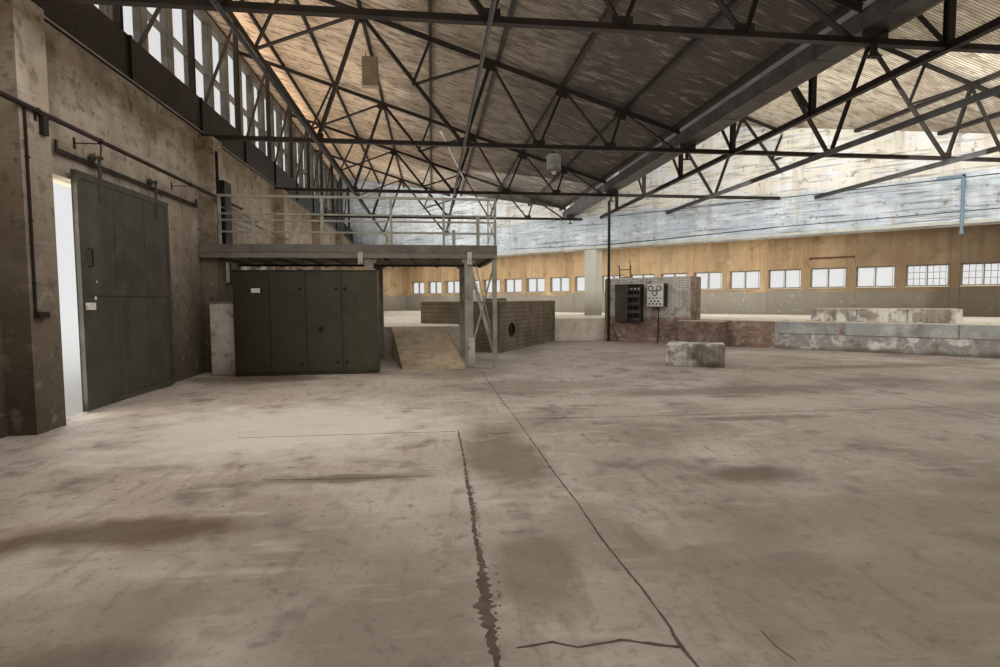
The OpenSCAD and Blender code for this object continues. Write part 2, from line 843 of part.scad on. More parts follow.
module mezzanine_railing() {
    bar_t = 50;
    first = 400;
    color("silver") translate([0, deck_y + 20, deck_z]) {
        for (x = [first, 1060, 2450, 3880, 5000, deck_l - 60])
            translate([x, 0, 0]) cube([bar_t, bar_t, rail_top - bar_t]);
        for (z = [240, 480, 610, rail_top - bar_t])
            translate([first, 0, z]) cube([deck_l - first - 10, bar_t, z > 900 ? bar_t : 35]);
        for (stub = [[3780, 330], [5205, 330], [5730, 620]])
            translate([stub[0], -10, 0]) cube([70, bar_t, stub[1]]);
    }
}

cabinet_x = 850;
cabinet_y = deck_y - 590;
door_gap = 10;
pin_r = 4;
pin_l = 15;
lug = 24;
lug_t = 6;
lug_gap = 5;

module cabinet_body() {
    w = 4 * cabinet_w;
    color("darkolivegreen") difference() {
        translate([cabinet_x, cabinet_y, 0]) cube([w, cabinet_d, cabinet_h]);
        for (i = [0 : 3])
            translate([cabinet_x + i * cabinet_w + 25, cabinet_y - 1, 80])
                cube([cabinet_w - 50, cabinet_d - cabinet_t + 1, cabinet_h - 110]);
    }
}

// A leaf that hangs on two pins in its edge, with the upright hinge axis at its origin
module leaf(w, t, h) {
    difference() {
        translate([-t / 2, -t / 2, 0]) cube([w, t, h]);
        for (z = [-1, h - pin_l - lug_gap])
            translate([0, 0, z]) cylinder(h = pin_l + lug_gap + 1, r = pin_r + seat, $fn = 24);
    }
}

// The two lugs with their pins that carry a leaf, standing out of a face that lies at y = t / 2 + door_gap
module pivots(t, h) {
    for (top = [0, 1])
        translate([0, 0, top * h]) mirror([0, 0, top]) {
            translate([-lug / 2, -lug / 2, -lug_gap - lug_t]) cube([lug, lug / 2 + t / 2 + door_gap, lug_t]);
            translate([0, 0, -lug_gap]) cylinder(h = lug_gap + pin_l, r = pin_r, $fn = 24);
        }
}

// Cabinet doors 1 to 3 hang at their left edge, door 4 hangs at its right edge
cabinet_door_w = cabinet_w - 16;
cabinet_door_h = cabinet_h - 90;

module at_cabinet_hinge(i) {
    inset = 8 + cabinet_t / 2;
    x = i < 3 ? inset : cabinet_w - inset;
    translate([cabinet_x + i * cabinet_w + x, cabinet_y - door_gap - cabinet_t / 2, 70])
        mirror([i < 3 ? 0 : 1, 0, 0]) children();
}

module cabinet_door(i) {
    color("olivedrab") at_cabinet_hinge(i) leaf(cabinet_door_w, cabinet_t, cabinet_door_h);
}

module switch_block() {
    color("firebrick") slanted() translate([block_u, block_v, 0]) cube([block_l, block_d, block_h]);
}

module dwarf_wall() {
    u0 = block_u + block_l;
    color("brown") difference() {
        prism([at_uv(u0, -dwarf_d), at_uv(diag_l + dwarf_d, -dwarf_d),
               at_uv(diag_l + dwarf_d - dwarf_t, -dwarf_d + dwarf_t), at_uv(u0, -dwarf_d + dwarf_t)],
              0, dwarf_h);
        translate([hall_w - pilaster_d, truss_y(1) - pilaster_w / 2, raised_h])
            cube([pilaster_d, pilaster_w, dwarf_h]);
    }
}

box_u = block_u + 500;
box_w = 950;
box_z = 720;
box_h = 1270;
box_d = 200;
box_t = 15;
leaf_open = 110;

module switch_box() {
    color("dimgray") slanted() difference() {
        translate([box_u, block_v - box_d, box_z]) cube([box_w, box_d, box_h]);
        translate([box_u + box_t, block_v - box_d - 1, box_z + box_t])
            cube([box_w - 2 * box_t, box_d - box_t + 1, box_h - 2 * box_t]);
    }
}

box_leaf_w = box_w / 2 - 8;
box_leaf_h = box_h - 40;

module at_box_hinge(side) {
    slanted() translate([box_u + box_w / 2 + side * (box_w / 2 - 4 - box_t / 2),
                         block_v - box_d - door_gap - box_t / 2, box_z + 20])
        mirror([side > 0 ? 1 : 0, 0, 0]) children();
}

module switch_box_door_left() {
    color("dimgray") at_box_hinge(-1) leaf(box_leaf_w, box_t, box_leaf_h);
}

module switch_box_door_right() {
    color("dimgray") at_box_hinge(1) rotate([0, 0, -leaf_open]) leaf(box_leaf_w, box_t, box_leaf_h);
}

module door_pivots() {
    color("dimgray") {
        for (i = [0 : 3]) at_cabinet_hinge(i) pivots(cabinet_t, cabinet_door_h);
        for (side = [-1, 1]) at_box_hinge(side) pivots(box_t, box_leaf_h);
    }
}

// The meter box stands on the front of the block, beside the switch box
meter_size = [540, 400, 740];
meter_z = 1250;

module meter_box() {
    color("gainsboro") slanted()
        translate([box_u + box_w + 290, block_v - meter_size[1], meter_z]) cube(meter_size);
}

// A round pipe hole in the tank's front and a hatch on its cover
tank_hole = [820, -1, 620];
tank_hole_r = 150;
hatch_at = [1700, 900];
hatch_r = 330;
hatch_h = 90;

module at_tank(z) {
    translate([tank_at[0], tank_at[1], z]) rotate([0, 0, tank_turn]) children();
}

module tank() {
    color("gray") at_tank(0) difference() {
        cube([tank_l, tank_d, tank_h - cover_t]);
        translate([tank_t, tank_t, tank_t]) cube([tank_l - 2 * tank_t, tank_d - 2 * tank_t, tank_h]);
        translate(tank_hole) rotate([-90, 0, 0]) cylinder(h = tank_t + 2, r = tank_hole_r, $fn = 48);
    }
}

module tank_cover() {
    color("gray") at_tank(tank_h - cover_t + seat) {
        cube([tank_l, tank_d, cover_t - seat]);
        translate([hatch_at[0], hatch_at[1], 0]) cylinder(h = cover_t + hatch_h, r = hatch_r, $fn = 48);
    }
}

base_at = [9900, deck_y - 370];
kerb_at = [block_u + 6310, -2400];

module concrete_bases() {
    color("lightgray") {
        translate([base_at[0], base_at[1], 0]) rotate([0, 0, -28]) cube([1080, 700, 400]);
        slanted() translate([kerb_at[0], kerb_at[1], raised_h]) cube([3500, 800, 380]);
    }
}

// Pipes up the switch block, on the end wall and along the left wall, with a conduit and its box
block_pipe_u = block_u + 160;
end_pipe = [block_u + 9770, 3400];
wall_pipe_z = 3668;
pipe_r = 40;
thin_r = 15;
conduit_y = truss_y(1) - 180;

module service_pipes() {
    face = pilaster_d + seat;
    color("dimgray") {
        slanted() {
            translate([block_pipe_u, block_v - pipe_r - seat, 0])
                cylinder(h = chord_z, r = pipe_r, $fn = 24);
            translate([end_pipe[0], -60 - pipe_r - seat, end_pipe[1]])
                cylinder(h = wall_h + 50 - end_pipe[1], r = pipe_r, $fn = 24);
        }
        translate([face + pipe_r * 3 / 4, 0, wall_pipe_z]) rotate([-90, 0, 0])
            cylinder(h = deck_y + 1730, r = pipe_r * 3 / 4, $fn = 24);
        translate([face, truss_y(1) + 60, wall_pipe_z - 240]) cube([50, 90, 250]);
        translate([face + thin_r, conduit_y, 1380]) cylinder(h = wall_pipe_z - 1380, r = thin_r, $fn = 24);
        translate([face, conduit_y - 20, 1320]) cube([60, 180, 70]);
    }
}

lamp_x = 7540;
bell_h = 390;
rod_h = 90;

module hanging_lamp() {
    color("silver") translate([lamp_x, truss_y(2), chord_z - rod_h - bell_h]) {
        cylinder(h = bell_h, r1 = 190, r2 = 70, $fn = 48);
        translate([0, 0, bell_h]) cylinder(h = rod_h, r = 15, $fn = 24);
    }
}

whole() floor_slab();
whole() raised_floor();
whole() ramp();
whole() front_wall();
whole() left_wall_front();
whole() left_wall_rear();
whole() left_wall_over_door();
whole() right_wall();
whole() wall_pilasters();
whole() end_wall();
whole() end_wall_column();
whole() beam_ledge();
whole() annex_back_wall();
whole() annex_end_walls();
whole() annex_roof();
whole() eaves_slab();
whole() window_frames();
whole() window_glass();
whole() roof_sheet_left();
whole() roof_sheet_right();
whole() purlins();
whole() truss(0);  // truss_1
whole() truss(1);  // truss_2
whole() truss(2);  // truss_3
whole() truss(3);  // truss_4
whole() truss(4);  // truss_5
whole() truss(5);  // truss_6
whole() chord_rails();
whole() left_girder();
whole() valley_girder();
whole() upstand_band();
whole() glazing_frames();
whole() glazing_glass();
whole() gutter_floors();
whole() gutter_sides();
whole() door_track();
whole() sliding_door();
whole() mezzanine_deck();
whole() mezzanine_posts();
whole() mezzanine_railing();
whole() cabinet_body();
whole() cabinet_door(0);  // cabinet_door_1
whole() cabinet_door(1);  // cabinet_door_2
whole() cabinet_door(2);  // cabinet_door_3
whole() cabinet_door(3);  // cabinet_door_4
whole() door_pivots();
whole() switch_block();
whole() dwarf_wall();
whole() switch_box();
whole() switch_box_door_left();
whole() switch_box_door_right();
whole() meter_box();
whole() tank();
whole() tank_cover();
whole() concrete_bases();
whole() service_pipes();
whole() hanging_lamp();
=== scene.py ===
"""Looks of the factory building: camera, lamps, materials and the pieces that the solids leave to this script.
Lengths in the tables are millimetres in the plan frame of the part's source: x across the bays from the left
wall, y along the gutters from the front wall, z from the floor."""
import math
import random
from itertools import product

import bmesh
import bpy
from mathutils import Matrix, Vector

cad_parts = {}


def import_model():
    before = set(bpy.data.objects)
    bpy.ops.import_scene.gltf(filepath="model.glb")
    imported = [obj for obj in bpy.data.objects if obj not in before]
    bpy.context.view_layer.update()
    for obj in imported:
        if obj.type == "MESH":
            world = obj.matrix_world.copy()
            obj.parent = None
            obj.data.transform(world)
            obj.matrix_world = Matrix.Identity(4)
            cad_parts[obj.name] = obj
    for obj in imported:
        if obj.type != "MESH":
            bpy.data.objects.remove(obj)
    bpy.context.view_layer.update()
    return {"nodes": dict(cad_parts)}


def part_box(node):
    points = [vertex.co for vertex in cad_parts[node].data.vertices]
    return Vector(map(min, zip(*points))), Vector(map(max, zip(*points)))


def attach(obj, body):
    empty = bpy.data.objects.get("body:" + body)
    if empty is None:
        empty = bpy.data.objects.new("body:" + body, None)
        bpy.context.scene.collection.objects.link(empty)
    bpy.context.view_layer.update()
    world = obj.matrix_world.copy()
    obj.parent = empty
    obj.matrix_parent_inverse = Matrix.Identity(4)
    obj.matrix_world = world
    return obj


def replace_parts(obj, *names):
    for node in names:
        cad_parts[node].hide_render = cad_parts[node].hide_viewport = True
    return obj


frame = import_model()
nodes = frame["nodes"]
rng = random.Random(7)

# Plan frame: the faces that x, y and z are measured from
ORIGIN = Vector((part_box("left_wall_front")[1].x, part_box("front_wall")[1].y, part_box("floor_slab")[1].z))
ROOT2 = math.sqrt(2)
QUARTER = math.radians(45)      # the end wall's turn in plan
LEFT_LEN = 35650                # left wall, up to the end wall
GIRDERS = (-150, 11850)         # x of the two glazed girders
FALL = math.radians(17.6)       # of the roof sheets
SLOPE = math.tan(FALL)
RIDGE = 8750
SHEET_Z = RIDGE + 50 / math.cos(FALL) + 100.6
VERGE = 430
TRUSS_Y = [2400 + 5500 * i for i in range(6)]
POST_GAP = 2750                 # between the posts of a girder
WAVE_PITCH = 76.0               # of the corrugated sheets
CHORD_Z = 4990                  # bottom chord of the trusses
LAMP_Z = (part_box("hanging_lamp")[0].z - ORIGIN.z) * 1000


def P(x, y, z):
    """A point of the plan frame, in metres of the row frame."""
    return ORIGIN + Vector((x, y, z)) / 1000


def uv(u, v):
    """Plan point of the end wall's own frame."""
    return (u + v) / ROOT2, LEFT_LEN + (v - u) / ROOT2


def UV(u, v, z):
    """A point given in the end wall's own frame, in metres of the row frame."""
    return P(*uv(u, v), z)


def new_object(name, data):
    obj = bpy.data.objects.new(name, data)
    bpy.context.scene.collection.objects.link(obj)
    return obj


# ---------------------------------------------------------------- camera
def set_camera():
    """The photo's camera, solved from straight lines in it. It stands 1.5 m above the floor."""
    yaw, pitch, roll = 0.1223633570, -0.0613772562, -0.0057200381
    fwd = Vector((math.sin(yaw) * math.cos(pitch), math.cos(yaw) * math.cos(pitch), math.sin(pitch)))
    side = Vector((math.cos(yaw), -math.sin(yaw), 0.0))
    up = side.cross(fwd)
    right = math.cos(roll) * side + math.sin(roll) * up
    top = -math.sin(roll) * side + math.cos(roll) * up
    data = bpy.data.cameras.new("camera")
    data.sensor_width = 36
    data.lens = 19.85
    data.clip_start = 0.05
    data.clip_end = 500
    cam = new_object("camera", data)
    turn = Matrix((right, top, -fwd)).transposed().to_4x4()
    cam.matrix_world = Matrix.Translation(P(4750, 900, 1500)) @ turn
    bpy.context.scene.camera = cam


set_camera()
bpy.context.scene.view_settings.view_transform = "Standard"


# ---------------------------------------------------------------- materials
def rgb(text):
    """A colour written as six hex digits of sRGB, as linear light."""
    def lin(c):
        c /= 255
        return c / 12.92 if c <= 0.04045 else ((c + 0.055) / 1.055) ** 2.4
    return tuple(lin(int(text[i:i + 2], 16)) for i in (0, 2, 4)) + (1.0,)


class Tree:
    """The node tree of a new material, or of the world."""

    def __init__(self, owner):
        self.owner = owner
        owner.use_nodes = True
        self.nt = owner.node_tree
        self.nt.nodes.clear()
        self.made = {}              # outputs that are used again

    def node(self, kind, **values):
        n = self.nt.nodes.new(kind)
        for k, v in values.items():
            setattr(n, k, v)
        return n

    def link(self, a, b):
        self.nt.links.new(a, b)

    def put(self, socket, value):
        """Gives a socket a number, a colour in hex, or another node's output."""
        if isinstance(value, str):
            value = rgb(value)
        if isinstance(value, (int, float, tuple)):
            socket.default_value = value
        else:
            self.link(value, socket)

    def mapping(self, scale=(1, 1, 1), turn=0.0, place=(0, 0, 0)):
        if "coords" not in self.made:
            self.made["coords"] = self.node("ShaderNodeTexCoord").outputs["Object"]
        n = self.node("ShaderNodeMapping")
        self.link(self.made["coords"], n.inputs["Vector"])
        n.inputs["Scale"].default_value = scale
        n.inputs["Rotation"].default_value = (0, 0, turn)
        n.inputs["Location"].default_value = place
        return n.outputs["Vector"]

    def noise(self, size, detail=2.6, scale=(1, 1, 1)):
        key = (size, detail, scale)
        if key not in self.made:
            n = self.node("ShaderNodeTexNoise")
            self.link(self.mapping(scale), n.inputs["Vector"])
            n.inputs["Scale"].default_value = size
            n.inputs["Detail"].default_value = detail
            n.inputs["Roughness"].default_value = 0.6
            self.made[key] = n.outputs["Fac"]
        return self.made[key]

    def ramp(self, value, lo, hi):
        n = self.node("ShaderNodeMapRange")
        n.inputs["From Min"].default_value = lo
        n.inputs["From Max"].default_value = hi
        self.link(value, n.inputs["Value"])
        return n.outputs["Result"]

    def math(self, kind, a, b=0.0, clamp=False):
        n = self.node("ShaderNodeMath", operation=kind, use_clamp=clamp)
        self.put(n.inputs[0], a)
        self.put(n.inputs[1], b)
        return n.outputs[0]

    def mul(self, a, b, clamp=False):
        return self.math("MULTIPLY", a, b, clamp)

    def add(self, a, b, clamp=False):
        return self.math("ADD", a, b, clamp)

    def less(self, a, b):
        return self.math("SUBTRACT", a, b)

    def wobble(self, size, detail, amount):
        """Noise about nought, which makes a border uneven."""
        return self.mul(self.less(self.noise(size, detail), 0.5), amount)

    def mix(self, fac, a, b):
        n = self.node("ShaderNodeMix", data_type="RGBA")
        self.put(n.inputs[0], fac)
        self.put(n.inputs[6], a)
        self.put(n.inputs[7], b)
        return n.outputs[2]

    def axis(self, which):
        n = self.node("ShaderNodeSeparateXYZ")
        self.link(self.mapping(), n.inputs[0])
        return n.outputs[which]

    def slanted(self, which):
        """Coordinate u along or v across the end wall, in metres."""
        sign = -1 if which == "u" else 1
        plan = self.math("SUBTRACT" if which == "u" else "ADD", self.axis(0), self.axis(1))
        return self.mul(self.less(plan, UV(0, 0, 0).x + sign * UV(0, 0, 0).y), 1 / ROOT2)

    def finish(self, colour, rough, metal, bump, bump_m, alpha=1.0):
        out = self.node("ShaderNodeOutputMaterial")
        b = self.node("ShaderNodeBsdfPrincipled")
        self.put(b.inputs["Base Color"], colour)
        self.put(b.inputs["Roughness"], rough)
        b.inputs["Metallic"].default_value = metal
        b.inputs["Alpha"].default_value = alpha
        if bump is not None:
            n = self.node("ShaderNodeBump")
            n.inputs["Strength"].default_value = 1.0
            n.inputs["Distance"].default_value = bump_m
            self.link(bump, n.inputs["Height"])
            self.link(n.outputs["Normal"], b.inputs["Normal"])
        self.link(b.outputs["BSDF"], out.inputs["Surface"])
        return self.owner


def zrow(z):
    """Height above the floor in millimetres, as a height of the row frame in metres."""
    return ORIGIN.z + z / 1000


def on_row(kind, a):
    """Where a, in millimetres, lies on the coordinate that a layer names, in metres."""
    return {"x": P(a, 0, 0).x, "z": zrow(a)}.get(kind[-1], a / 1000)


def surface(name, base, layers=(), rough=0.85, metal=0.0, grain=60.0, bump_m=0.002, extra_bump=None):
    """A painted or mineral surface: a base colour under layers of (kind, colour, ..., amount). "noise" has scale,
    size, lo and hi, "spot" its place and radii, "wave" a pitch, "sheets" their width and depth. "x", "z" and "u", along
    the end wall, grow from one coordinate to another, and the "cut" kinds do so with a straight border."""
    t = Tree(bpy.data.materials.new(name))
    colour = base
    for kind, tint, *data, amount in layers:
        if kind == "noise":
            scale, size, lo, hi = data
            fac = t.ramp(t.noise(size, scale=scale), lo, hi)
        elif kind == "wave":
            turn = t.mul(t.less(t.axis(1), ORIGIN.y), 2 * math.pi / data[0])
            fac = t.ramp(t.math("COSINE", turn), -0.2, 0.9)
        elif kind == "sheets":
            cell = t.node("ShaderNodeCombineXYZ")
            for i, length in enumerate(data):
                t.link(t.math("FLOOR", t.mul(t.axis(1 - i), 1 / length)), cell.inputs[i])
            pick = t.node("ShaderNodeTexWhiteNoise")
            t.link(cell.outputs[0], pick.inputs["Vector"])
            fac = t.ramp(pick.outputs["Value"], 0.35, 1.0)
        elif kind == "spot":
            (x, y), (rx, ry) = data
            c = P(x, y, 0)
            place = t.mapping((1000 / rx, 1000 / ry, 0), 0.0, (-c.x * 1000 / rx, -c.y * 1000 / ry, 0))
            far = t.node("ShaderNodeVectorMath", operation="LENGTH")
            t.link(place, far.inputs[0])
            fac = t.ramp(t.add(far.outputs["Value"], t.wobble(2.2, 3.0, 1.8)), 1.15, 0.55)
        else:
            value = t.axis("xyz".index(kind[-1])) if kind[-1] in "xz" else t.slanted(kind[-1])
            if "cut" not in kind:
                value = t.add(value, t.wobble(0.8, 1.0, 4.0) if kind == "u" else t.wobble(1.4, 2.0, 0.5))
            fac = t.ramp(value, *(on_row(kind, a) for a in data))
        colour = t.mix(t.mul(fac, amount, True), colour, tint)
    height = t.noise(grain, 2.0)
    if extra_bump:
        height = t.add(t.mul(height, 0.5), extra_bump(t))
    rough_map = t.add(t.mul(t.noise(3.0, 1.0), 0.2), rough - 0.1, True)
    return t.finish(colour, rough_map, metal, height, bump_m)


def streak(colour, amount, fine=3.0, lo=0.5, hi=0.75):
    """A layer of upright runs."""
    return ("noise", colour, (1, 1, 0.08), fine, lo, hi, amount)


def patch(colour, amount, size=0.6, lo=0.45, hi=0.7):
    """A layer of blotches. The larger size is, the smaller they are."""
    return ("noise", colour, (1, 1, 1), size, lo, hi, amount)


def courses(depth=1.0):
    """Brick courses under paint, for a bump: bed joints, and upright joints in the end wall's own frame."""
    def height(t):
        row = t.mul(t.axis(2), 1 / 0.075)
        bed = t.ramp(t.math("FRACT", row), 0.0, 0.16)
        sep = t.node("ShaderNodeSeparateXYZ")
        t.link(t.mapping((1, 1, 1), QUARTER), sep.inputs[0])
        along = t.mul(t.add(sep.outputs[0], sep.outputs[1]), 4.0)
        shift = t.mul(t.math("FLOOR", row), 0.5)
        head = t.ramp(t.math("FRACT", t.add(along, shift)), 0.0, 0.06)
        return t.mul(t.math("MINIMUM", bed, head), depth)
    return height


def boards(pitch, depth=1.0):
    """Horizontal board marks for a bump."""
    def height(t):
        z = t.axis(2)
        saw = t.math("FRACT", t.mul(z, 1 / pitch))
        return t.mul(t.ramp(saw, 0.0, 0.08), depth)
    return height


RENDER = "c4b496"               # outer faces of the walls

FLOOR = surface("floor_concrete", "a89b8e", [
    patch("807264", 0.75, 0.35, 0.48, 0.62), patch("beb4a8", 0.6, 0.8, 0.5, 0.7),
    patch("605448", 0.6, 2.2, 0.56, 0.72), patch("50463e", 0.5, 9.0, 0.6, 0.75),
    patch("706254", 0.4, 24.0, 0.54, 0.7), ("noise", "c4baac", (0.25, 1, 1), 7.0, 0.55, 0.7, 0.4),
    ("noise", "76685a", (1, 0.2, 1), 11.0, 0.56, 0.7, 0.4),
] + [("spot", c, at, r, k) for c, at, r, k in (
        ("604c3c", (5400, 6150), (420, 1300), 0.65), ("645040", (7450, 5230), (560, 260), 0.75),
        ("5c4838", (2700, 4680), (950, 270), 0.8), ("685646", (4000, 5600), (850, 120), 0.75),
        ("6e5c4c", (9600, 9300), (2600, 420), 0.6), ("685848", (14500, 11800), (3400, 360), 0.55),
        # The pale spot at (2900, 7600) is a painted pool of light from the doorway
        ("ccc4b8", (2900, 7600), (2100, 1500), 0.7), ("705e4e", (5320, 3900), (260, 500), 0.55),
        ("6c5a4a", (8600, 7300), (900, 160), 0.6), ("544436", (1200, 12000), (1600, 600), 0.7),
        ("bcb2a4", (11500, 8200), (3000, 500), 0.5), ("746656", (8000, 3700), (2600, 1500), 0.5),
        ("645446", (3300, 3300), (500, 160), 0.5))],
    rough=0.6, grain=40, bump_m=0.003)
RAISED = surface("raised_concrete", "e2d8c8", [
    patch("b6a894", 0.6, 0.5), patch("eee6d8", 0.5, 1.3), patch("807262", 0.4, 5.0)],
    rough=0.7)
RAMP = surface("ramp_concrete", "b09a7e", [
    patch("7c6852", 0.7, 0.9), patch("c8b49a", 0.5, 1.6), patch("584a3c", 0.4, 5.0)],
    rough=0.75)
CONCRETE = surface("concrete", "7c7466", [
    patch("544e44", 0.7, 0.9), streak("4a443c", 0.6), patch("9e9688", 0.4, 2.5)],
    rough=0.9, bump_m=0.004)
BOARDED = surface("boarded_concrete", "7c6f5c", [
    patch("5a5246", 0.6, 0.9), streak("544c42", 0.5), patch("989080", 0.45, 2.5)],
    rough=0.9, bump_m=0.006, extra_bump=boards(0.125))
PLASTER = surface("wall_plaster", "a89a87", [
    patch("827563", 0.6, 0.5), streak("706453", 0.6, 2.0), patch("c8bdac", 0.6, 1.6),
    ("noise", "746757", (0.6, 0.6, 2.5), 2.2, 0.54, 0.68, 0.5), patch("625647", 0.6, 4.0, 0.58, 0.68),
    ("z", "564a3c", 4100, 1500, 0.8), ("z", "3a3026", 1500, 200, 0.6),
    patch("3c332a", 0.55, 7.0, 0.6, 0.7), ("noise", "b0a594", (1, 1, 1), 5.0, 0.58, 0.7, 0.25),
    ("cut_x", RENDER, -190, -200, 0.85)],
    rough=0.92, bump_m=0.005, extra_bump=courses(0.35))
OUTER = surface("outer_render", RENDER, [
    patch("a6967a", 0.6, 0.4), streak("8c7e68", 0.5, 1.6), patch("d4c8ae", 0.5, 1.5),
    ("z", "7e705c", 700, -200, 0.7)], rough=0.92, bump_m=0.003)
END_WALL = surface("end_wall_paint", "f0e8d6", [
    patch("d4c8b0", 0.5, 0.5), patch("f6f4ee", 0.6, 1.1),
    ("u", "ccd6da", 15000, 9000, 0.85), ("z", "c8d2d8", 5150, 4950, 1.0),
    ("noise", "eef1f3", (1, 1, 3), 1.1, 0.5, 0.62, 0.65),
    ("noise", "96948e", (0.7, 0.7, 6), 1.6, 0.55, 0.68, 0.55), streak("968c7c", 0.45, 2.0),
    ("noise", "605a52", (0.35, 0.35, 9), 1.3, 0.6, 0.66, 0.6), patch("706252", 0.6, 5.0, 0.62, 0.7),
    ("noise", "b8a88c", (1, 1, 0.15), 3.0, 0.58, 0.7, 0.5),
    # Darker from 3720 down to 3600 at the wall's foot: painted shade along the beam ledge
    ("z", "78726a", 3720, 3600, 0.5), ("cut_v", RENDER, 200, 210, 0.85)],
    rough=0.88, bump_m=0.006, extra_bump=courses())
COLUMN = surface("column_paint", "ceccbe", [
    streak("8c8474", 0.5, 2.0), ("z", "6e6250", 1900, 1000, 0.7)], rough=0.85)
ANNEX = surface("annex_distemper", "bea27a", [
    streak("a0805c", 0.6, 1.3, 0.45, 0.62), streak("deccaa", 0.6, 3.0),
    ("noise", "7a6044", (1, 1, 0.07), 6.0, 0.56, 0.68, 0.4), patch("b2946e", 0.5, 0.8),
    patch("745c42", 0.45, 1.7, 0.56, 0.7), ("z", "948f84", 1800, 1760, 1.0),
    ("z", "6c6558", 1500, 800, 0.5), patch("cec8b8", 0.5, 6.0, 0.62, 0.72),
    ("u", "46382a", 21500, 28500, 0.8),
    ("cut_v", RENDER, 4430, 4440, 1.0), ("cut_u", RENDER, -140, -150, 1.0),
    ("cut_u", RENDER, 34090, 34100, 1.0), patch("8c7c64", 0.35, 0.5),
    streak("80705a", 0.3, 1.6)], rough=0.9)
STEEL = surface("dark_steel", "2e2a27", [
    patch("40372f", 0.6, 2.5), patch("1c1917", 0.6, 1.0), patch("563a28", 0.3, 7.0)],
    rough=0.6, metal=0.25, bump_m=0.001)
GREY_STEEL = surface("grey_steel", "706c64", [
    patch("544e46", 0.6, 1.5), streak("423c34", 0.5), patch("8c8880", 0.4, 4.0)],
    rough=0.6, metal=0.1, bump_m=0.001)
RAIL = surface("rail_steel", "4c4a48", [
    patch("322e2b", 0.6, 1.5), patch("686664", 0.4, 4.0)], rough=0.55, metal=0.15, bump_m=0.001)
WINDOW_PAINT = surface("window_paint", "968e80", [
    patch("706658", 0.6, 3.0), patch("beb8ac", 0.5, 7.0)], rough=0.7, bump_m=0.001)
BAND = surface("band_steel", "1a1818", [patch("282422", 0.6, 1.0), streak("100f0f", 0.5)],
               rough=0.5, metal=0.2, bump_m=0.001)
GALV = surface("galvanised", "52504c", [
    patch("3c3a37", 0.6, 1.2), patch("6c6b67", 0.5, 5.0), streak("36322e", 0.5)],
    rough=0.5, metal=0.4, bump_m=0.001)
DOOR = surface("door_steel", "46433a", [
    patch("32302a", 0.6, 0.8), streak("2c2a26", 0.6, 2.0), patch("5c564a", 0.5, 3.0)],
    rough=0.65, metal=0.1, bump_m=0.0015)
CABINET = surface("cabinet_paint", "484738", [
    patch("38362a", 0.5, 1.2), streak("302d23", 0.4, 3.0), patch("5a5848", 0.4, 6.0),
    ("x", "241e12", 3400, 900, 0.8)],
    rough=0.5, metal=0.1, bump_m=0.0008)
PALE = surface("pale_paint", "969488", [
    patch("6e685c", 0.6, 1.6), patch("60422c", 0.5, 4.0, 0.58, 0.7),
    patch("b2b0a4", 0.5, 3.0)], rough=0.7, metal=0.05, bump_m=0.0015)
RUST = surface("rusty_steel", "5c3a2a", [
    patch("402a20", 0.6, 3.0), patch("7c5036", 0.5, 9.0)], rough=0.85, metal=0.1, bump_m=0.002)
WOOD = surface("old_boards", "685846", [
    ("noise", "483a2c", (0.15, 1, 1), 6.0, 0.45, 0.65, 0.7), patch("847662", 0.5, 2.0)], rough=0.9)
WHITEWASH = surface("whitewash", "c4beb2", [
    patch("968876", 0.7, 2.0), patch("684e3e", 0.6, 5.0, 0.56, 0.68),
    ("z", "786856", 400, 0, 0.7)], rough=0.92, bump_m=0.005)
LEDGE = surface("ledge_concrete", "969794", [
    patch("766e62", 0.7, 1.2), streak("60584e", 0.4), patch("c4c0b8", 0.6, 2.6)],
    rough=0.92, bump_m=0.005)
PATCHY = surface("patchy_whitewash", "908c85", [
    patch("d6d2ca", 0.9, 1.6, 0.5, 0.56), patch("60564a", 0.7, 3.2, 0.54, 0.62),
    patch("b2aca2", 0.6, 7.0, 0.52, 0.64), ("z", "605448", 120, 0, 0.8)],
    rough=0.95, bump_m=0.008)
BASE_SKIN = surface("base_whitewash", "968e82", [
    patch("d6d0c6", 0.9, 1.5, 0.48, 0.56), streak("544a40", 0.7, 6.0),
    patch("6c6256", 0.7, 4.0, 0.52, 0.64), ("z", "5a4e42", 90, 0, 0.8)],
    rough=0.95, bump_m=0.008)
BLUE = surface("blue_pipe", "849cac", [patch("627684", 0.5, 4.0)], rough=0.5)
ENAMEL = surface("lamp_enamel", "92928e", [patch("605e5a", 0.6, 6.0)], rough=0.35, metal=0.5)
WHITE = surface("white_enamel", "d6d4ca", [patch("b2aea0", 0.5, 3.0)], rough=0.4)
BLACK = surface("black_rubber", "181716", [patch("282624", 0.5, 5.0)], rough=0.6)
OLIVE = surface("olive_panel", "707254", [patch("54563e", 0.5, 3.0)], rough=0.6)
ROOF_OUT = surface("roof_outside", "8a8680", [
    patch("68625a", 0.6, 0.3), ("noise", "5c544c", (0.12, 1, 1), 2.0, 0.5, 0.7, 0.5),
    patch("7a5840", 0.4, 0.9, 0.55, 0.7)], rough=0.75, metal=0.1, bump_m=0.001)
JOINT = surface("floor_joint", "564a3e", [patch("3c342c", 0.6, 4.0), patch("706254", 0.5, 11.0)],
                rough=0.95)
RUBBLE = surface("floor_rubble", "76685a", [patch("584c40", 0.7, 9.0), patch(
    "968a7c", 0.6, 14.0)], rough=0.95, bump_m=0.003)
TAN_BOX = surface("tan_box", "786852", [patch("564a3a", 0.6, 3.0)], rough=0.7)
SAND = surface("sandy_edge", "c4baa6", [patch("a09480", 0.5, 3.0)], rough=0.95)


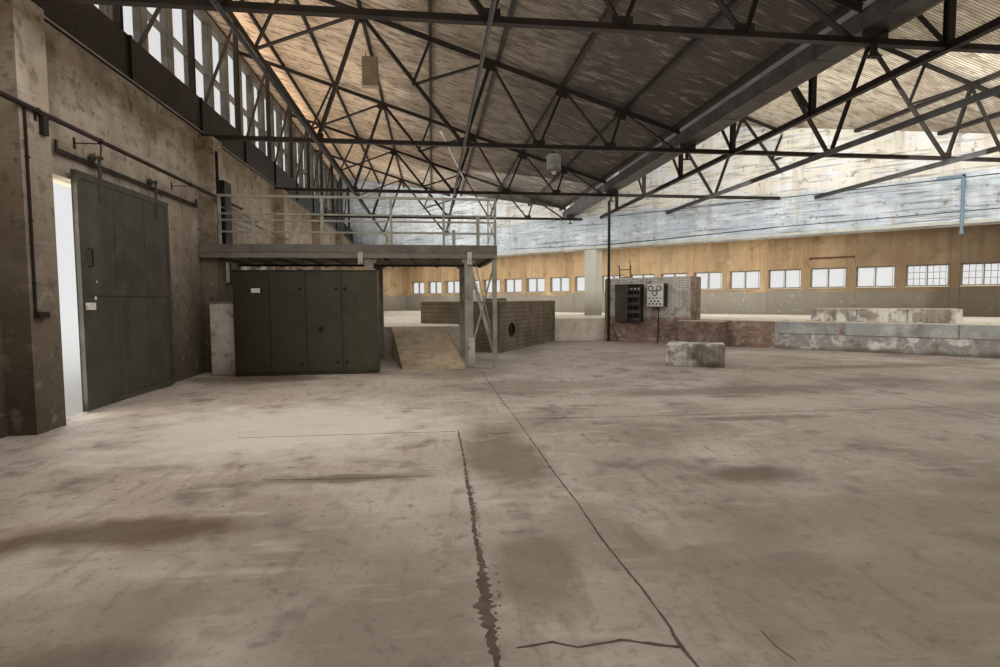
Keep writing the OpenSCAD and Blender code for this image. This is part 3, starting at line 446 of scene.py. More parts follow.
def roof_inside(name, tints):
    """Underside of the sheets: tints[5] holds painted light near the glazing and painted shade towards the gutter, and
    the wave layer paints shade in the hollows of the corrugations.
    """
    return surface(name, tints[0], [
        ("noise", tints[1], (0.1, 1, 1), 2.4, 0.42, 0.62, 0.7), ("noise", tints[2], (0.1, 1, 1), 7.0, 0.5, 0.7, 0.6),
        ("noise", tints[3], (1, 1, 1), 0.5, 0.5, 0.68, 0.7), ("noise", tints[4], (0.5, 0.5, 1), 3.0, 0.58, 0.7, 0.5),
        # tints[5]: painted light near the glazing and painted shade towards the gutter
        ("sheets", tints[3], 0.912, 3.0, 0.45)] + tints[5] + [
        ("noise", tints[7], (0.05, 1, 1), 6.0, 0.54, 0.68, 0.5), ("noise", tints[6], (0.05, 1, 1), 8.0, 0.5, 0.64, 0.6),
        # The wave layer is painted shade in the hollows of the corrugations, seen from below
        ("wave", tints[6], WAVE_PITCH / 1000, 0.72)],
        rough=0.75, metal=0.05, bump_m=0.001)


ROOF_LEFT = roof_inside("roof_underside_left", [
    "d0bca4", "8a7761", "e4d4be", "86745f", "645241",
    # Painted light near the glazing, then painted shade away from it towards the gutter
    [("x", "fcdab6", 4200, -200, 0.85),
     ("x", "322f2b", 2900, 8300, 0.92)], "382f26", "968a7a"])
ROOF_RIGHT = roof_inside("roof_underside_right", [
    "c4b8a2", "9c8e76", "d8ceba", "92846e", "7c6c56",
    # Painted shade towards the gutter
    [("x", "786e5e", 17000, 22000, 0.6)], "605240", "ded6c4"])


def brick_material(name, painted):
    """Bricks in the frame of the end wall, with whitewash on the upper part."""
    t = Tree(bpy.data.materials.new(name))
    turned = t.mapping((1, 1, 1), QUARTER)
    sep = t.node("ShaderNodeSeparateXYZ")
    t.link(turned, sep.inputs[0])
    along = t.add(sep.outputs[0], sep.outputs[1])
    pos = t.node("ShaderNodeCombineXYZ")
    t.link(along, pos.inputs[0])
    t.link(sep.outputs[2], pos.inputs[1])
    b = t.node("ShaderNodeTexBrick")
    t.link(pos.outputs[0], b.inputs["Vector"])
    for k, v in (("Scale", 1.0), ("Mortar Size", 0.009), ("Mortar Smooth", 0.4), ("Brick Width", 0.25),
                 ("Row Height", 0.075), ("Bias", 0.0)):
        b.inputs[k].default_value = v
    t.put(b.inputs["Color1"], "987a6a")
    t.put(b.inputs["Color2"], "765c50")
    t.put(b.inputs["Mortar"], "92887a")
    colour = t.mix(t.mul(t.ramp(t.noise(1.2), 0.45, 0.7), 0.6), b.outputs["Color"],
                   "50423a")
    worn = t.ramp(t.noise(4.0), 0.54, 0.64)
    colour = t.mix(t.mul(worn, 0.55), colour, "b0a698")
    if painted:
        z = t.add(t.axis(2), t.mul(t.noise(5.0), 0.25))
        wash = t.mul(t.ramp(z, zrow(980), zrow(1080)), t.ramp(t.noise(3.0), 0.3, 0.5), True)
        wash = t.mul(wash, t.ramp(t.slanted("u"), 21.826, 21.822))
        wash_colour = t.mix(t.ramp(t.noise(2.5, scale=(1, 1, 0.2)), 0.4, 0.7), "cecac0", "a29888")
        wash_colour = t.mix(t.mul(b.outputs["Fac"], 0.75), wash_colour, "60584e")
        colour = t.mix(t.mul(wash, 0.92), colour, wash_colour)
    height = t.add(t.mul(b.outputs["Fac"], -1.0),
                    t.mul(t.noise(60.0), 0.4))
    return t.finish(colour, 0.9, 0.0, height, 0.004)


BRICK = brick_material("red_brick", False)
OLD_BRICK = surface("rendered_brick", "867466", [
    patch("6c5246", 0.8, 2.2, 0.46, 0.6), patch("a09688", 0.6, 3.2, 0.55, 0.68),
    patch("4e3e34", 0.5, 7.0)], rough=0.95, bump_m=0.008)
WASHED = brick_material("washed_brick", True)


def glass_material(name, colour, alpha):
    t = Tree(bpy.data.materials.new(name))
    dirt = t.mix(t.ramp(t.noise(2.0, scale=(1, 1, 0.3)), 0.4, 0.7), colour, "c8c8be")
    return t.finish(dirt, 0.15, 0.0, None, 0.0, alpha)


GLASS = glass_material("dusty_glass", "ecf0f0", 0.07)

LOOKS = (
    (FLOOR, "floor_slab"), (RAISED, "raised_floor"), (RAMP, "ramp"), (OUTER, "front_wall right_wall"),
    (PLASTER, "left_wall_front left_wall_rear left_wall_over_door wall_pilasters"), (END_WALL, "end_wall"),
    (COLUMN, "end_wall_column beam_ledge"), (ANNEX, "annex_back_wall annex_end_walls"),
    (CONCRETE, "annex_roof eaves_slab mezzanine_deck concrete_bases"), (WINDOW_PAINT, "window_frames"),
    (GLASS, "window_glass glazing_glass"), (ROOF_LEFT, "roof_sheet_left"), (ROOF_RIGHT, "roof_sheet_right"),
    (STEEL, "purlins truss_1 truss_2 truss_3 truss_4 truss_5 truss_6 left_girder valley_girder door_track"),
    (STEEL, "door_pivots switch_box service_pipes"), (RAIL, "chord_rails"), (BAND, "upstand_band"),
    (GREY_STEEL, "glazing_frames"), (GALV, "gutter_floors gutter_sides hanging_lamp"),
    (DOOR, "sliding_door switch_box_door_left switch_box_door_right"), (PALE, "mezzanine_posts mezzanine_railing"),
    (CABINET, "cabinet_body cabinet_door_1 cabinet_door_2 cabinet_door_3 cabinet_door_4"), (WASHED, "switch_block"),
    (BRICK, "dwarf_wall"), (WHITE, "meter_box"), (BOARDED, "tank tank_cover"))
BY_NODE = {name: mat for mat, names in LOOKS for name in names.split()}
for name, obj in nodes.items():
    obj.data.materials.clear()
    obj.data.materials.append(BY_NODE[name])


# ---------------------------------------------------------------- mesh helpers
def piece(name, verts, faces, mats, body="building", face_mats=None):
    """One mesh object in the row frame. Vertices are in metres."""
    mesh = bpy.data.meshes.new(name)
    mesh.from_pydata([tuple(v) for v in verts], [], faces)
    for m in mats if isinstance(mats, (list, tuple)) else [mats]:
        mesh.materials.append(m)
    if face_mats:
        mesh.polygons.foreach_set("material_index", face_mats)
    bm = bmesh.new()
    bm.from_mesh(mesh)
    bmesh.ops.recalc_face_normals(bm, faces=bm.faces)
    bm.to_mesh(mesh)
    bm.free()
    obj = new_object(name, mesh)
    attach(obj, body)
    return obj


def circle(centre, side, up, r, sides):
    """Points round a centre, in the plane of side and up."""
    turns = [2 * math.pi * k / sides for k in range(sides)]
    return [centre + r * (math.cos(a) * side + math.sin(a) * up) for a in turns]


class Shape:
    """Collects boxes, tubes and turned shapes into one mesh after another."""

    def __init__(self):
        self.v, self.f = [], []

    def add(self, verts, faces):
        n = len(self.v)
        self.v += verts
        self.f += [tuple(i + n for i in face) for face in faces]

    def block(self, to, size, chamfer=4.0):
        """A box of size (a, b, c) with chamfered edges. to() turns its own millimetres into a row-frame point."""
        k = min(chamfer, *(length / 4 for length in size))
        verts, index, faces = [], {}, []
        corners = list(product((0, 1), repeat=3))
        for corner in corners:
            for n in range(3):
                index[corner, n] = len(verts)
                verts.append(to(*(size[m] * corner[m] + (0, (k, -k)[corner[m]])[m != n] for m in range(3))))

        def vertex(n, ends, face):
            """The vertex on a face at a corner, whose ends are given from axis n on."""
            return index[tuple(ends[(m - n) % 3] for m in range(3)), face]

        def close(loop, forward):
            faces.append(tuple(loop if forward else loop[::-1]))
        for end, n in product((0, 1), range(3)):
            close([vertex(n, (end, i, j), n) for i, j in ((0, 0), (1, 0), (1, 1), (0, 1))], end)
        for n, i, j in product(range(3), (0, 1), (0, 1)):
            m, o = (n + 1) % 3, (n + 2) % 3
            close([vertex(n, (end, i, j), face) for end, face in ((0, m), (1, m), (1, o), (0, o))], i == j)
        for corner in corners:
            close([index[corner, n] for n in range(3)], sum(corner) % 2)
        self.add(verts, faces)

    def box_in(self, to, x, y, z, a, b, c, chamfer=4.0):
        """A box at (x, y, z) of the frame that to() turns into the row frame."""
        self.block(lambda i, j, k: to(x + i, y + j, z + k), (a, b, c), chamfer)

    def box(self, *place):
        self.box_in(P, *place)

    def uv_box(self, *place):
        self.box_in(UV, *place)

    def skin(self, rings):
        """Joins rings of points into a closed skin."""
        n, last = len(rings[0]), len(rings) - 1
        faces = []
        for i, k in product(range(last), range(n)):
            a, b = i * n + k, i * n + (k + 1) % n
            faces.append((a, b, b + n, a + n))
        faces += [tuple(range(n))[::-1], tuple(last * n + k for k in range(n))]
        self.add([p for ring in rings for p in ring], faces)

    def tube(self, points, r, sides=10):
        """A round tube along points, in metres."""
        pts = [Vector(p) for p in points]
        rings = []
        side = None
        for i, p in enumerate(pts):
            t = (pts[min(i + 1, len(pts) - 1)] - pts[max(i - 1, 0)]).normalized()
            if side is None:
                side = t.orthogonal().normalized()
            side = (side - t * side.dot(t)).normalized()
            rings.append(circle(p, side, t.cross(side), r, sides))
        self.skin(rings)

    def lathe(self, base, axis, profile, sides=24):
        """A turned shape: profile is (distance along the axis, radius) in metres."""
        axis = Vector(axis).normalized()
        side = axis.orthogonal().normalized()
        up = axis.cross(side)
        self.skin([circle(Vector(base) + axis * h, side, up, max(r, 1e-4), sides) for h, r in profile])

    def make(self, name, mat, body="building"):
        """Makes a piece of what was collected and starts anew."""
        obj = piece(name, self.v, self.f, mat, body)
        self.v, self.f = [], []
        return obj


# ---------------------------------------------------------------- roof
SEGMENTS = 6                    # of each wave
WAVE = 9.0                      # half its height
SHEET = 2.0
ROWS = ((-1050, 2040), (1880, 5020), (4860, 8000), (7840, 10760))


def roof(name, node, g, inside):
    """Corrugated sheets in four rows, each lapping over the one below it."""
    step = WAVE_PITCH / SEGMENTS
    cut = LEFT_LEN + VERGE * ROOT2
    verts, faces, kinds = [], [], []
    for row, (d0, d1) in enumerate(ROWS):
        lift = 4.0 * (3 - row)
        y, columns = -VERGE, []
        while True:
            top = min(y, cut - g - d0)
            end = min(d1, cut - top - g)
            columns.append((top, end))
            if y >= cut - g - d0:
                break
            y += step
        n0 = len(verts)
        for y, end in columns:
            wave = WAVE * (1 + math.cos(2 * math.pi * y / WAVE_PITCH))
            for d in (d0, end):
                z = SHEET_Z - SLOPE * d + wave + 1 + lift
                verts.append(P(g + d, y, z))
                verts.append(P(g + d, y, z + SHEET))
        for i in range(len(columns) - 1):
            a, b = n0 + 4 * i, n0 + 4 * (i + 1)
            faces += [(a, a + 2, b + 2, b), (a + 1, b + 1, b + 3, a + 3), (a, b, b + 1, a + 1),
                      (a + 2, a + 3, b + 3, b + 2)]
            kinds += [0, 1, 1, 1]
        faces += [(n0, n0 + 1, n0 + 3, n0 + 2)]
        kinds += [1]
    obj = piece(name, verts, faces, [inside, ROOF_OUT], face_mats=kinds)
    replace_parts(obj, node)
    return obj


roof("corrugated_roof_left", "roof_sheet_left", GIRDERS[0], ROOF_LEFT)
roof("corrugated_roof_right", "roof_sheet_right", GIRDERS[1], ROOF_RIGHT)

# ---------------------------------------------------------------- glazing
GLAZE_OUT, GLAZE_D = 920, 160
MULLION, MULLION_W, FIRST_PANE = 1144, 250, 664
SILL, MID, HEAD, TOP = 6030, 7360, 8690, 8915


def glazing_trim():
    """Stiles of the sashes, a raised edge on each mullion and putty beads round the panes."""
    for bay, g in enumerate(GIRDERS):
        s = Shape()
        inner = g - GLAZE_OUT + GLAZE_D
        y_end = LEFT_LEN - inner
        y = FIRST_PANE
        while y + MULLION < y_end:
            for z, h in ((SILL + 60, MID - SILL - 60), (MID + 60, HEAD - MID - 60)):
                s.box(inner - 60, y - 2, z, 40, 22, h, 3)
                s.box(inner - 60, y + MULLION - MULLION_W - 20, z, 40, 22, h, 3)
            s.box(inner - 1, y - MULLION_W / 2 - 10, SILL, 12, 20, TOP - SILL - 10, 2)
            for off in (30, MULLION_W - 6):
                s.box(inner - 1, y - off, SILL, 9, 24, TOP - SILL - 10, 2)
            y += MULLION
        s.make("glazing_trim_%d" % (bay + 1), GREY_STEEL)


glazing_trim()


# ---------------------------------------------------------------- floor
def ribbon(s, points, widths, z=1.5, jag=0.0, step=60.0):
    """A thin strip let into the floor along points, with an uneven edge where jag is set."""
    line = []
    for i in range(len(points) - 1):
        a, b = Vector(points[i]), Vector(points[i + 1])
        n = max(1, int((b - a).length / step)) if jag else 1
        for k in range(n):
            t = k / n
            line.append((a.lerp(b, t), widths[i] * (1 - t) + widths[i + 1] * t))
    line.append((Vector(points[-1]), widths[-1]))
    left, right = [], []
    for i, (p, w) in enumerate(line):
        d = line[min(i + 1, len(line) - 1)][0] - line[max(i - 1, 0)][0]
        n = Vector((-d.y, d.x)).normalized()
        left.append(p + n * (w / 2 + jag * w * rng.uniform(-0.6, 0.6)))
        right.append(p - n * (w / 2 + jag * w * rng.uniform(-0.6, 0.6)))
    verts, faces = [], []
    for p, q in zip(left, right):
        verts += [P(p.x, p.y, z), P(q.x, q.y, z), P(q.x, q.y, z - 2), P(p.x, p.y, z - 2)]
    for i in range(len(line) - 1):
        a, b = 4 * i, 4 * i + 4
        faces += [(a, a + 1, b + 1, b), (a + 1, a + 2, b + 2, b + 1), (a + 2, a + 3, b + 3, b + 2),
                  (a + 3, a, b, b + 3)]
    end = 4 * (len(line) - 1)
    faces += [(3, 2, 1, 0), (end, end + 1, end + 2, end + 3)]
    s.add(verts, faces)


def chip(s, x, y, r, h):
    """A broken piece of concrete."""
    n = rng.randint(5, 7)
    spin = rng.uniform(0, 6)
    ring = [(x + r * rng.uniform(0.6, 1.1) * math.cos(spin + 2 * math.pi * k / n),
             y + r * rng.uniform(0.6, 1.1) * math.sin(spin + 2 * math.pi * k / n)) for k in range(n)]
    verts = [P(a, b, 0.5) for a, b in ring]
    verts += [P(x + (a - x) * 0.6, y + (b - y) * 0.6, h * rng.uniform(0.7, 1.1)) for a, b in ring]
    faces = [tuple(range(n))[::-1], tuple(range(n, 2 * n))]
    faces += [(k, (k + 1) % n, n + (k + 1) % n, n + k) for k in range(n)]
    s.add(verts, faces)


CRACK = [(5025, 7170), (5033, 6094), (5019, 5416), (5023, 4791), (5004, 4317), (5011, 3940), (4992, 3500),
         (4998, 3266), (4995, 2900), (5010, 2300), (4980, 1500)]
CRACK_W = [9, 15, 26, 28, 27, 30, 78, 42, 40, 36, 20]
JOINT_B = [(5764, 12336), (5764, 8948), (5786, 7931), (5785, 6406), (5782, 5446), (5798, 4760), (5786, 4117),
           (5799, 3832), (5813, 3527), (5811, 3217), (5796, 3106), (5812, 2900), (5805, 600)]


def floor_marks():
    """The long crack and the joints of the floor, with crumbs of concrete along and beside them."""
    s = Shape()
    ribbon(s, CRACK, CRACK_W, jag=0.55, step=22)
    ribbon(s, JOINT_B, [10, 9, 9, 10, 10, 10, 12, 12, 11, 11, 20, 15, 11], z=1.7, jag=0.4, step=50)
    ribbon(s, [(5764, 7672), (7619, 7600), (11700, 7560)], [9, 8, 6], jag=0.3)
    ribbon(s, [(2618, 7180), (4993, 7137)], [8, 10], jag=0.4)
    ribbon(s, [(5091, 3167), (5254, 3185), (5359, 3137), (5557, 3157), (5790, 3080)], [9, 14, 10, 15, 16],
           z=1.9, jag=0.6, step=40)
    ribbon(s, [(6208, 3145), (6202, 3035), (6229, 2930)], [5, 7, 4], jag=0.5)
    ribbon(s, [(6656, 8413), (7027, 8357)], [26, 20], jag=0.4)
    ribbon(s, [(5339, 6963), (5588, 6987)], [22, 16], jag=0.5)
    ribbon(s, [(3340, 5652), (4000, 5590), (4714, 5565)], [7, 12, 6], jag=0.8, step=40)
    ribbon(s, [(4291, 8586), (4704, 8523)], [14, 10], jag=0.4)
    ribbon(s, [(11700, 400), (11720, 20500)], [9, 9], z=1.3, jag=0.3, step=160)
    ribbon(s, [(17700, 400), (17690, 15000)], [9, 9], z=1.3, jag=0.3, step=160)
    ribbon(s, [(6100, 12900), (20500, 12700)], [8, 8], z=1.1, jag=0.3, step=160)
    ribbon(s, [(900, 2450), (4980, 2500)], [8, 8], jag=0.4, step=120)
    ribbon(s, [(5830, 2600), (23000, 2500)], [8, 8], z=1.1, jag=0.3, step=160)
    s.make("floor_joints", JOINT)
    for (x0, y0), (x1, y1), w in zip(CRACK, CRACK[1:], CRACK_W[1:]):
        for _ in range(int(abs(y1 - y0) / 22)):
            t = rng.random()
            r = rng.uniform(4, 12)
            chip(s, x0 + (x1 - x0) * t + rng.uniform(-0.4, 1.2) * w, y0 + (y1 - y0) * t, r, 2 + r * 0.25)
    for _ in range(90):
        r = rng.uniform(3, 9)
        chip(s, rng.uniform(800, 9000), rng.uniform(2600, 12000), r, r * 0.5)
    s.make("floor_chips", RUBBLE)


floor_marks()


# ---------------------------------------------------------------- sliding door
def door_details():
    """Seams, rivets, hanger bolts, hasp, lock and handle of the sliding door."""
    s = Shape()
    y0, z0, w, h = 8890, 20, 2550, 3220
    face = 120
    out = (1, 0, 0)
    for y in (y0 + 92, y0 + w / 3, y0 + 2 * w / 3, y0 + w - 104):
        s.box(face, y, 112, 5, 12, h - 190, 2)
    s.box(face, y0 + 92, z0 + 92, 4, w - 184, 8, 1)
    spots = [(y0 + 45 + k * (w - 90) / 14, z) for k in range(15) for z in (62, z0 + h - 45)]
    spots += [(y, z0 + 45 + k * (h - 90) / 16) for k in range(17) for y in (y0 + 45, y0 + w - 45)]
    for y, z in spots:
        s.lathe(P(face + 10, y, z), out, [(0, 0.011), (0.003, 0.009), (0.005, 0.004)], 8)
    for y in (y0 + 540, y0 + w - 410):
        for z in (2960, 3050, 3140, 3400):
            s.lathe(P(face + 12, y, z), out, [(0, 0.017), (0.006, 0.017), (0.009, 0.01)], 6)
        s.lathe(P(face + 12, y, 3520.5), out, [(0, 0.03), (0.012, 0.03), (0.02, 0.018)], 16)
    s.make("door_seams", DOOR, body="door")
    s.box(face + 10, 8950, 1390, 6, 220, 100, 2)
    s.box(face + 16, 8960, 1425, 16, 60, 30, 3)
    s.lathe(P(face + 10, 9220, 1780), out, [(0, 0.016), (0.003, 0.016)], 16)
    s.lathe(P(face + 10, 9180, 1550), out, [(0, 0.026), (0.003, 0.026)], 20)
    s.make("door_hasp", WHITE, body="door")
    s.tube([P(face + 8, 9080, 1980), P(face + 55, 9080, 1980), P(face + 55, 9080, 2220), P(face + 8, 9080, 2220)],
           0.012, 10)
    s.make("door_handle", STEEL, body="door")


door_details()


def left_wall_fittings():
    """Pipe brackets, the duct on the third pilaster, the light edge of the wall and small fittings."""
    s = Shape()
    for y in (900, 2450, 4600, 6500, 7900, 9100, 11900, 13380):
        reach = 300 if any(abs(y - t) < 260 for t in TRUSS_Y) else 0
        s.box(reach, y - 15, 3628, 330 - reach + 34, 30, 10, 2)
        s.box(reach, y - 20, 3560, 12, 40, 150, 2)
        s.tube([P(330 + 36 * math.cos(a), y, 3668 + 36 * math.sin(a)) for a in
                [math.radians(k) for k in range(-90, 271, 30)]], 0.005, 6)
    for z in (1700, 2400, 3100):
        s.box(300, 7700, z, 36, 40, 24, 2)
    s.tube([P(330, 9100, 3640), P(334, 9104, 3560), P(326, 9100, 3480), P(340, 9110, 3420), P(356, 9100, 3450)],
           0.010, 8)
    s.make("pipe_brackets", STEEL)
    s.box(300, 13370, 2400, 120, 400, 1660, 8)
    for z in (2700, 3300, 3900):
        s.box(296, 13360, z, 130, 420, 40, 3)
    s.box(300, 13240, 2420, 50, 40, 2200, 4)
    s.make("wall_duct", BAND)
    for a, b, r in (((305, 12450, 3660), (420, 15600, 3480), 0.020), ((305, 12450, 3560), (600, 15400, 3300), 0.014),
                    ((330, 13700, 3400), (330, 19000, 3420), 0.018), ((360, 13700, 3240), (360, 18900, 3260), 0.012)):
        a, b = P(*a), P(*b)
        s.tube([a, a.lerp(b, 0.5) - Vector((0, 0, 0.015)), b], r, 8)
    s.make("side_pipes", GREY_STEEL)
    for y0, y1 in [(TRUSS_Y[i] + 60, TRUSS_Y[i + 1] - 60) for i in range(5)] + [(60, TRUSS_Y[0] - 60),
                                                                                (TRUSS_Y[5] + 60, 35400)]:
        s.box(59, y0, 4996, 7, y1 - y0, 26, 2)
    s.make("wall_head_angle", PALE)
    s.box(330, 12560, 0, 470, 320, 1462, 14)
    s.make("white_pier", WHITEWASH)
    s.box(310, 12540, 1462, 500, 350, 26, 8)
    s.make("white_pier_cap", CONCRETE)


left_wall_fittings()


# ---------------------------------------------------------------- mezzanine
def mezzanine():
    """Fascia, joists and boards of the deck, and the small parts of its railing."""
    front = 12970
    s = Shape()
    edges = [20, 1280, 2430, 3260, 3860, 4880, 5560, 6170]
    for a, b in zip(edges, edges[1:]):
        s.box(a + 4, front - 9, 2512, b - a - 8, 12, 148, 4)
    for a, b in zip(edges[::2], edges[2::2] + [6170]):
        s.box(a + 4, front - 5, 2664, b - a - 8, 12, 14, 3)
    s.make("deck_fascia", GREY_STEEL)
    for x in (3200, 5525):
        s.box(x, front - 26, 2262, 104, 40, 270, 8)
    s.make("deck_brackets", WHITEWASH)
    for k in range(11):
        x = 380 + k * 560
        if not any(abs(x - c) < 240 for c in (3420, 5560)):
            s.box(x, front + 30, 2345, 70, 2640, 56, 4)
    s.box(330, 14300, 2300, 5600, 90, 46, 4)
    s.make("deck_joists", STEEL)
    for k in range(43):
        x = 320 + k * 136
        if x < 6040:
            s.box(x, front + 75, 2680, 128, 2560, 12, 3)
    s.make("deck_boards", WOOD)
    s.box(5530, front + 4, 0, 150, 34, 660, 12)
    s.make("broken_post_foot", WHITEWASH)
    for x in (400, 1060, 2450, 3880, 5000, 6120):
        s.box(x - 14, front + 14, 2681, 78, 62, 10, 2)
        for z in (2900, 3140, 3280, 3640):
            s.lathe(P(x + 25, front + 20, z + 18), (0, -1, 0), [(0, 0.013), (0.004, 0.012), (0.008, 0.006)], 8)
    s.make("railing_plates", PALE)
    s.tube([P(5717, 13078, 2258), P(6167, 13078, 297)], 0.012, 8)
    for a, b in (((5990, 12990, 3690), (6150, 12990, 3220)), ((6150, 12990, 3690), (5990, 12990, 3220)),
                 ((5990, 12990, 3220), (6150, 12990, 2760)), ((6150, 12990, 3220), (5990, 12990, 2760))):
        s.tube([P(*a), P(*b)], 0.011, 6)
    s.tube([P(5985, 12990, 2690), P(5985, 12990, 3700)], 0.014, 8)
    s.make("railing_lattice", PALE)


mezzanine()


# ---------------------------------------------------------------- switch cabinets
def cabinets():
    """Knobs and folded edges on the four leaves, the frame's trim and rows of gear behind the leaves."""
    x0, face, leaf = 850, 12350, 697
    knobs = {1: ((1413, 1717), (1424, 223)), 2: ((2139, 1734), (2139, 240)), 3: ((2838, 1732), (2843, 255)),
             4: ((3015, 1731), (3021, 252))}
    for i, spots in knobs.items():
        s = Shape()
        for x, z in spots:
            s.lathe(P(x, face, z), (0, -1, 0), [(0, 0.030), (0.004, 0.030), (0.006, 0.017), (0.026, 0.017),
                                                 (0.030, 0.012)], 20)
            s.box(x - 5, face - 38, z - 24, 10, 14, 48, 2)
        if i == 3:
            s.lathe(P(2526, face, 930), (0, -1, 0), [(0, 0.055), (0.006, 0.055), (0.008, 0.036), (0.016, 0.034)], 24)
        s.make("cabinet_knobs_%d" % i, BLACK, body="cabinet_leaf_%d" % i)
        s = Shape()
        left = x0 + leaf * (i - 1) + 30
        for z in (0, 1):
            s.box(left + 10, face - 2.5, 112 + z * 1920, 617, 3, 10, 1)
        for x in (0, 1):
            s.box(left + 10 + x * 607, face - 2.5, 122, 10, 3, 1910, 1)
        for z in (1560, 1590, 1620):
            if i in (2, 4):
                s.box(left + 200, face - 3, z, 240, 4, 12, 1.5)
        s.make("cabinet_fold_%d" % i, CABINET, body="cabinet_leaf_%d" % i)
    s.box(1206, face - 2, 1665, 168, 3, 84, 1)
    s.make("cabinet_plate", WHITE, body="cabinet_leaf_1")
    for i in range(5):
        s.box(x0 + leaf * i - (0, 12, 12, 12, 14)[i], 12376, 70, (14, 24, 24, 24, 14)[i], 6, 2030, 1)
    s.box(840, 12360, 2100, 2808, 530, 14, 4)
    s.box(x0, 12374, 0, 4 * leaf, 8, 66, 3)
    for i in range(4):
        for x in (60, 610):
            s.lathe(P(x0 + leaf * i + x, 12600, 2114), (0, 0, 1), [(0, 0.02), (0.004, 0.02), (0.012, 0.012)], 12)
    s.make("cabinet_frame_trim", CABINET)
    for i in range(4):
        s = Shape()
        left = x0 + leaf * i + 60
        s.box(left, 12855, 200, 577, 6, 1700, 3)
        for row in range(3):
            for k in range(4):
                s.box(left + 45 + k * 130, 12800, 520 + row * 480, 95, 58, 150, 6)
                s.box(left + 80 + k * 130, 12788, 570 + row * 480, 26, 14, 46, 3)
            s.box(left + 20, 12835, 720 + row * 480, 540, 22, 40, 4)
        s.make("cabinet_gear_%d" % (i + 1), BLACK)


cabinets()


# ---------------------------------------------------------------- switch wall
BLOCK_U, BLOCK_V = 18790, -3444  # front corner of the switch block
BOX_U = BLOCK_U + 500


def switch_wall():
    """Back plate, gear and fuses in the switch box, its rim and the trim of its two leaves."""
    s = Shape()
    s.uv_box(BOX_U + 30, BLOCK_V - 24, 750, 890, 4, 1210, 1)
    s.make("switch_back_plate", GREY_STEEL)
    for row, z in enumerate((860, 1130, 1400, 1660)):
        for k in range(6):
            s.uv_box(BOX_U + 70 + k * 138, BLOCK_V - 92, z, 92, 66, 150 if row != 3 else 110, 6)
            s.uv_box(BOX_U + 98 + k * 138, BLOCK_V - 108, z + 40, 34, 18, 54, 4)
    s.make("switch_gear", BLACK)
    for k in range(6):
        s.uv_box(BOX_U + 84 + k * 138, BLOCK_V - 74, 1800, 62, 48, 70, 6)
    for k in range(5):
        a = UV(BOX_U + 120 + k * 140, BLOCK_V - 50, 1800)
        b = UV(BOX_U + 180 + k * 120, BLOCK_V - 60, 1560)
        s.tube([a, a.lerp(b, 0.5) + Vector((0, 0, -0.02)), b], 0.006, 6)
    s.make("switch_fuses", WHITE)
    for z in (720, 1970):
        s.uv_box(BOX_U - 6, BLOCK_V - 204, z, 962, 6, 20, 2)
    for u in (-6, 936):
        s.uv_box(BOX_U + u, BLOCK_V - 204, 740, 20, 6, 1230, 2)
    s.make("switch_box_rim", STEEL)
    s.uv_box(BOX_U + 395, BLOCK_V - 236, 1300, 22, 14, 130, 4)
    for z in (900, 925, 950, 975):
        s.uv_box(BOX_U + 120, BLOCK_V - 230, z, 220, 5, 10, 2)
    for z in (800, 1860):
        s.uv_box(BOX_U + 30, BLOCK_V - 229, z, 400, 4, 12, 1.5)
    s.make("switch_leaf_trim_left", STEEL, body="switch_leaf_left")
    # The right leaf stands open: its own frame runs from the hinge, x along the leaf and y out of its face
    hinge = Vector((BOX_U + 475 + 463.5, BLOCK_V - 200 - 10 - 7.5))
    angle = math.radians(110)

    def on_leaf(i, j, k):
        du = -i * math.cos(angle) + j * math.sin(angle)
        dv = -i * math.sin(angle) - j * math.cos(angle)
        return UV(hinge.x + du, hinge.y + dv, k)
    s = Shape()
    s.box_in(on_leaf, 430, 8, 1300, 22, 12, 130, 4)
    for z in (900, 925, 950, 975):
        s.box_in(on_leaf, 130, 7.5, z, 220, 4, 10, 1.5)
    for z in (790, 1880):
        s.box_in(on_leaf, 20, 7.5, z, 420, 4, 12, 1.5)
    s.make("switch_leaf_trim_right", STEEL, body="switch_leaf_right")


switch_wall()


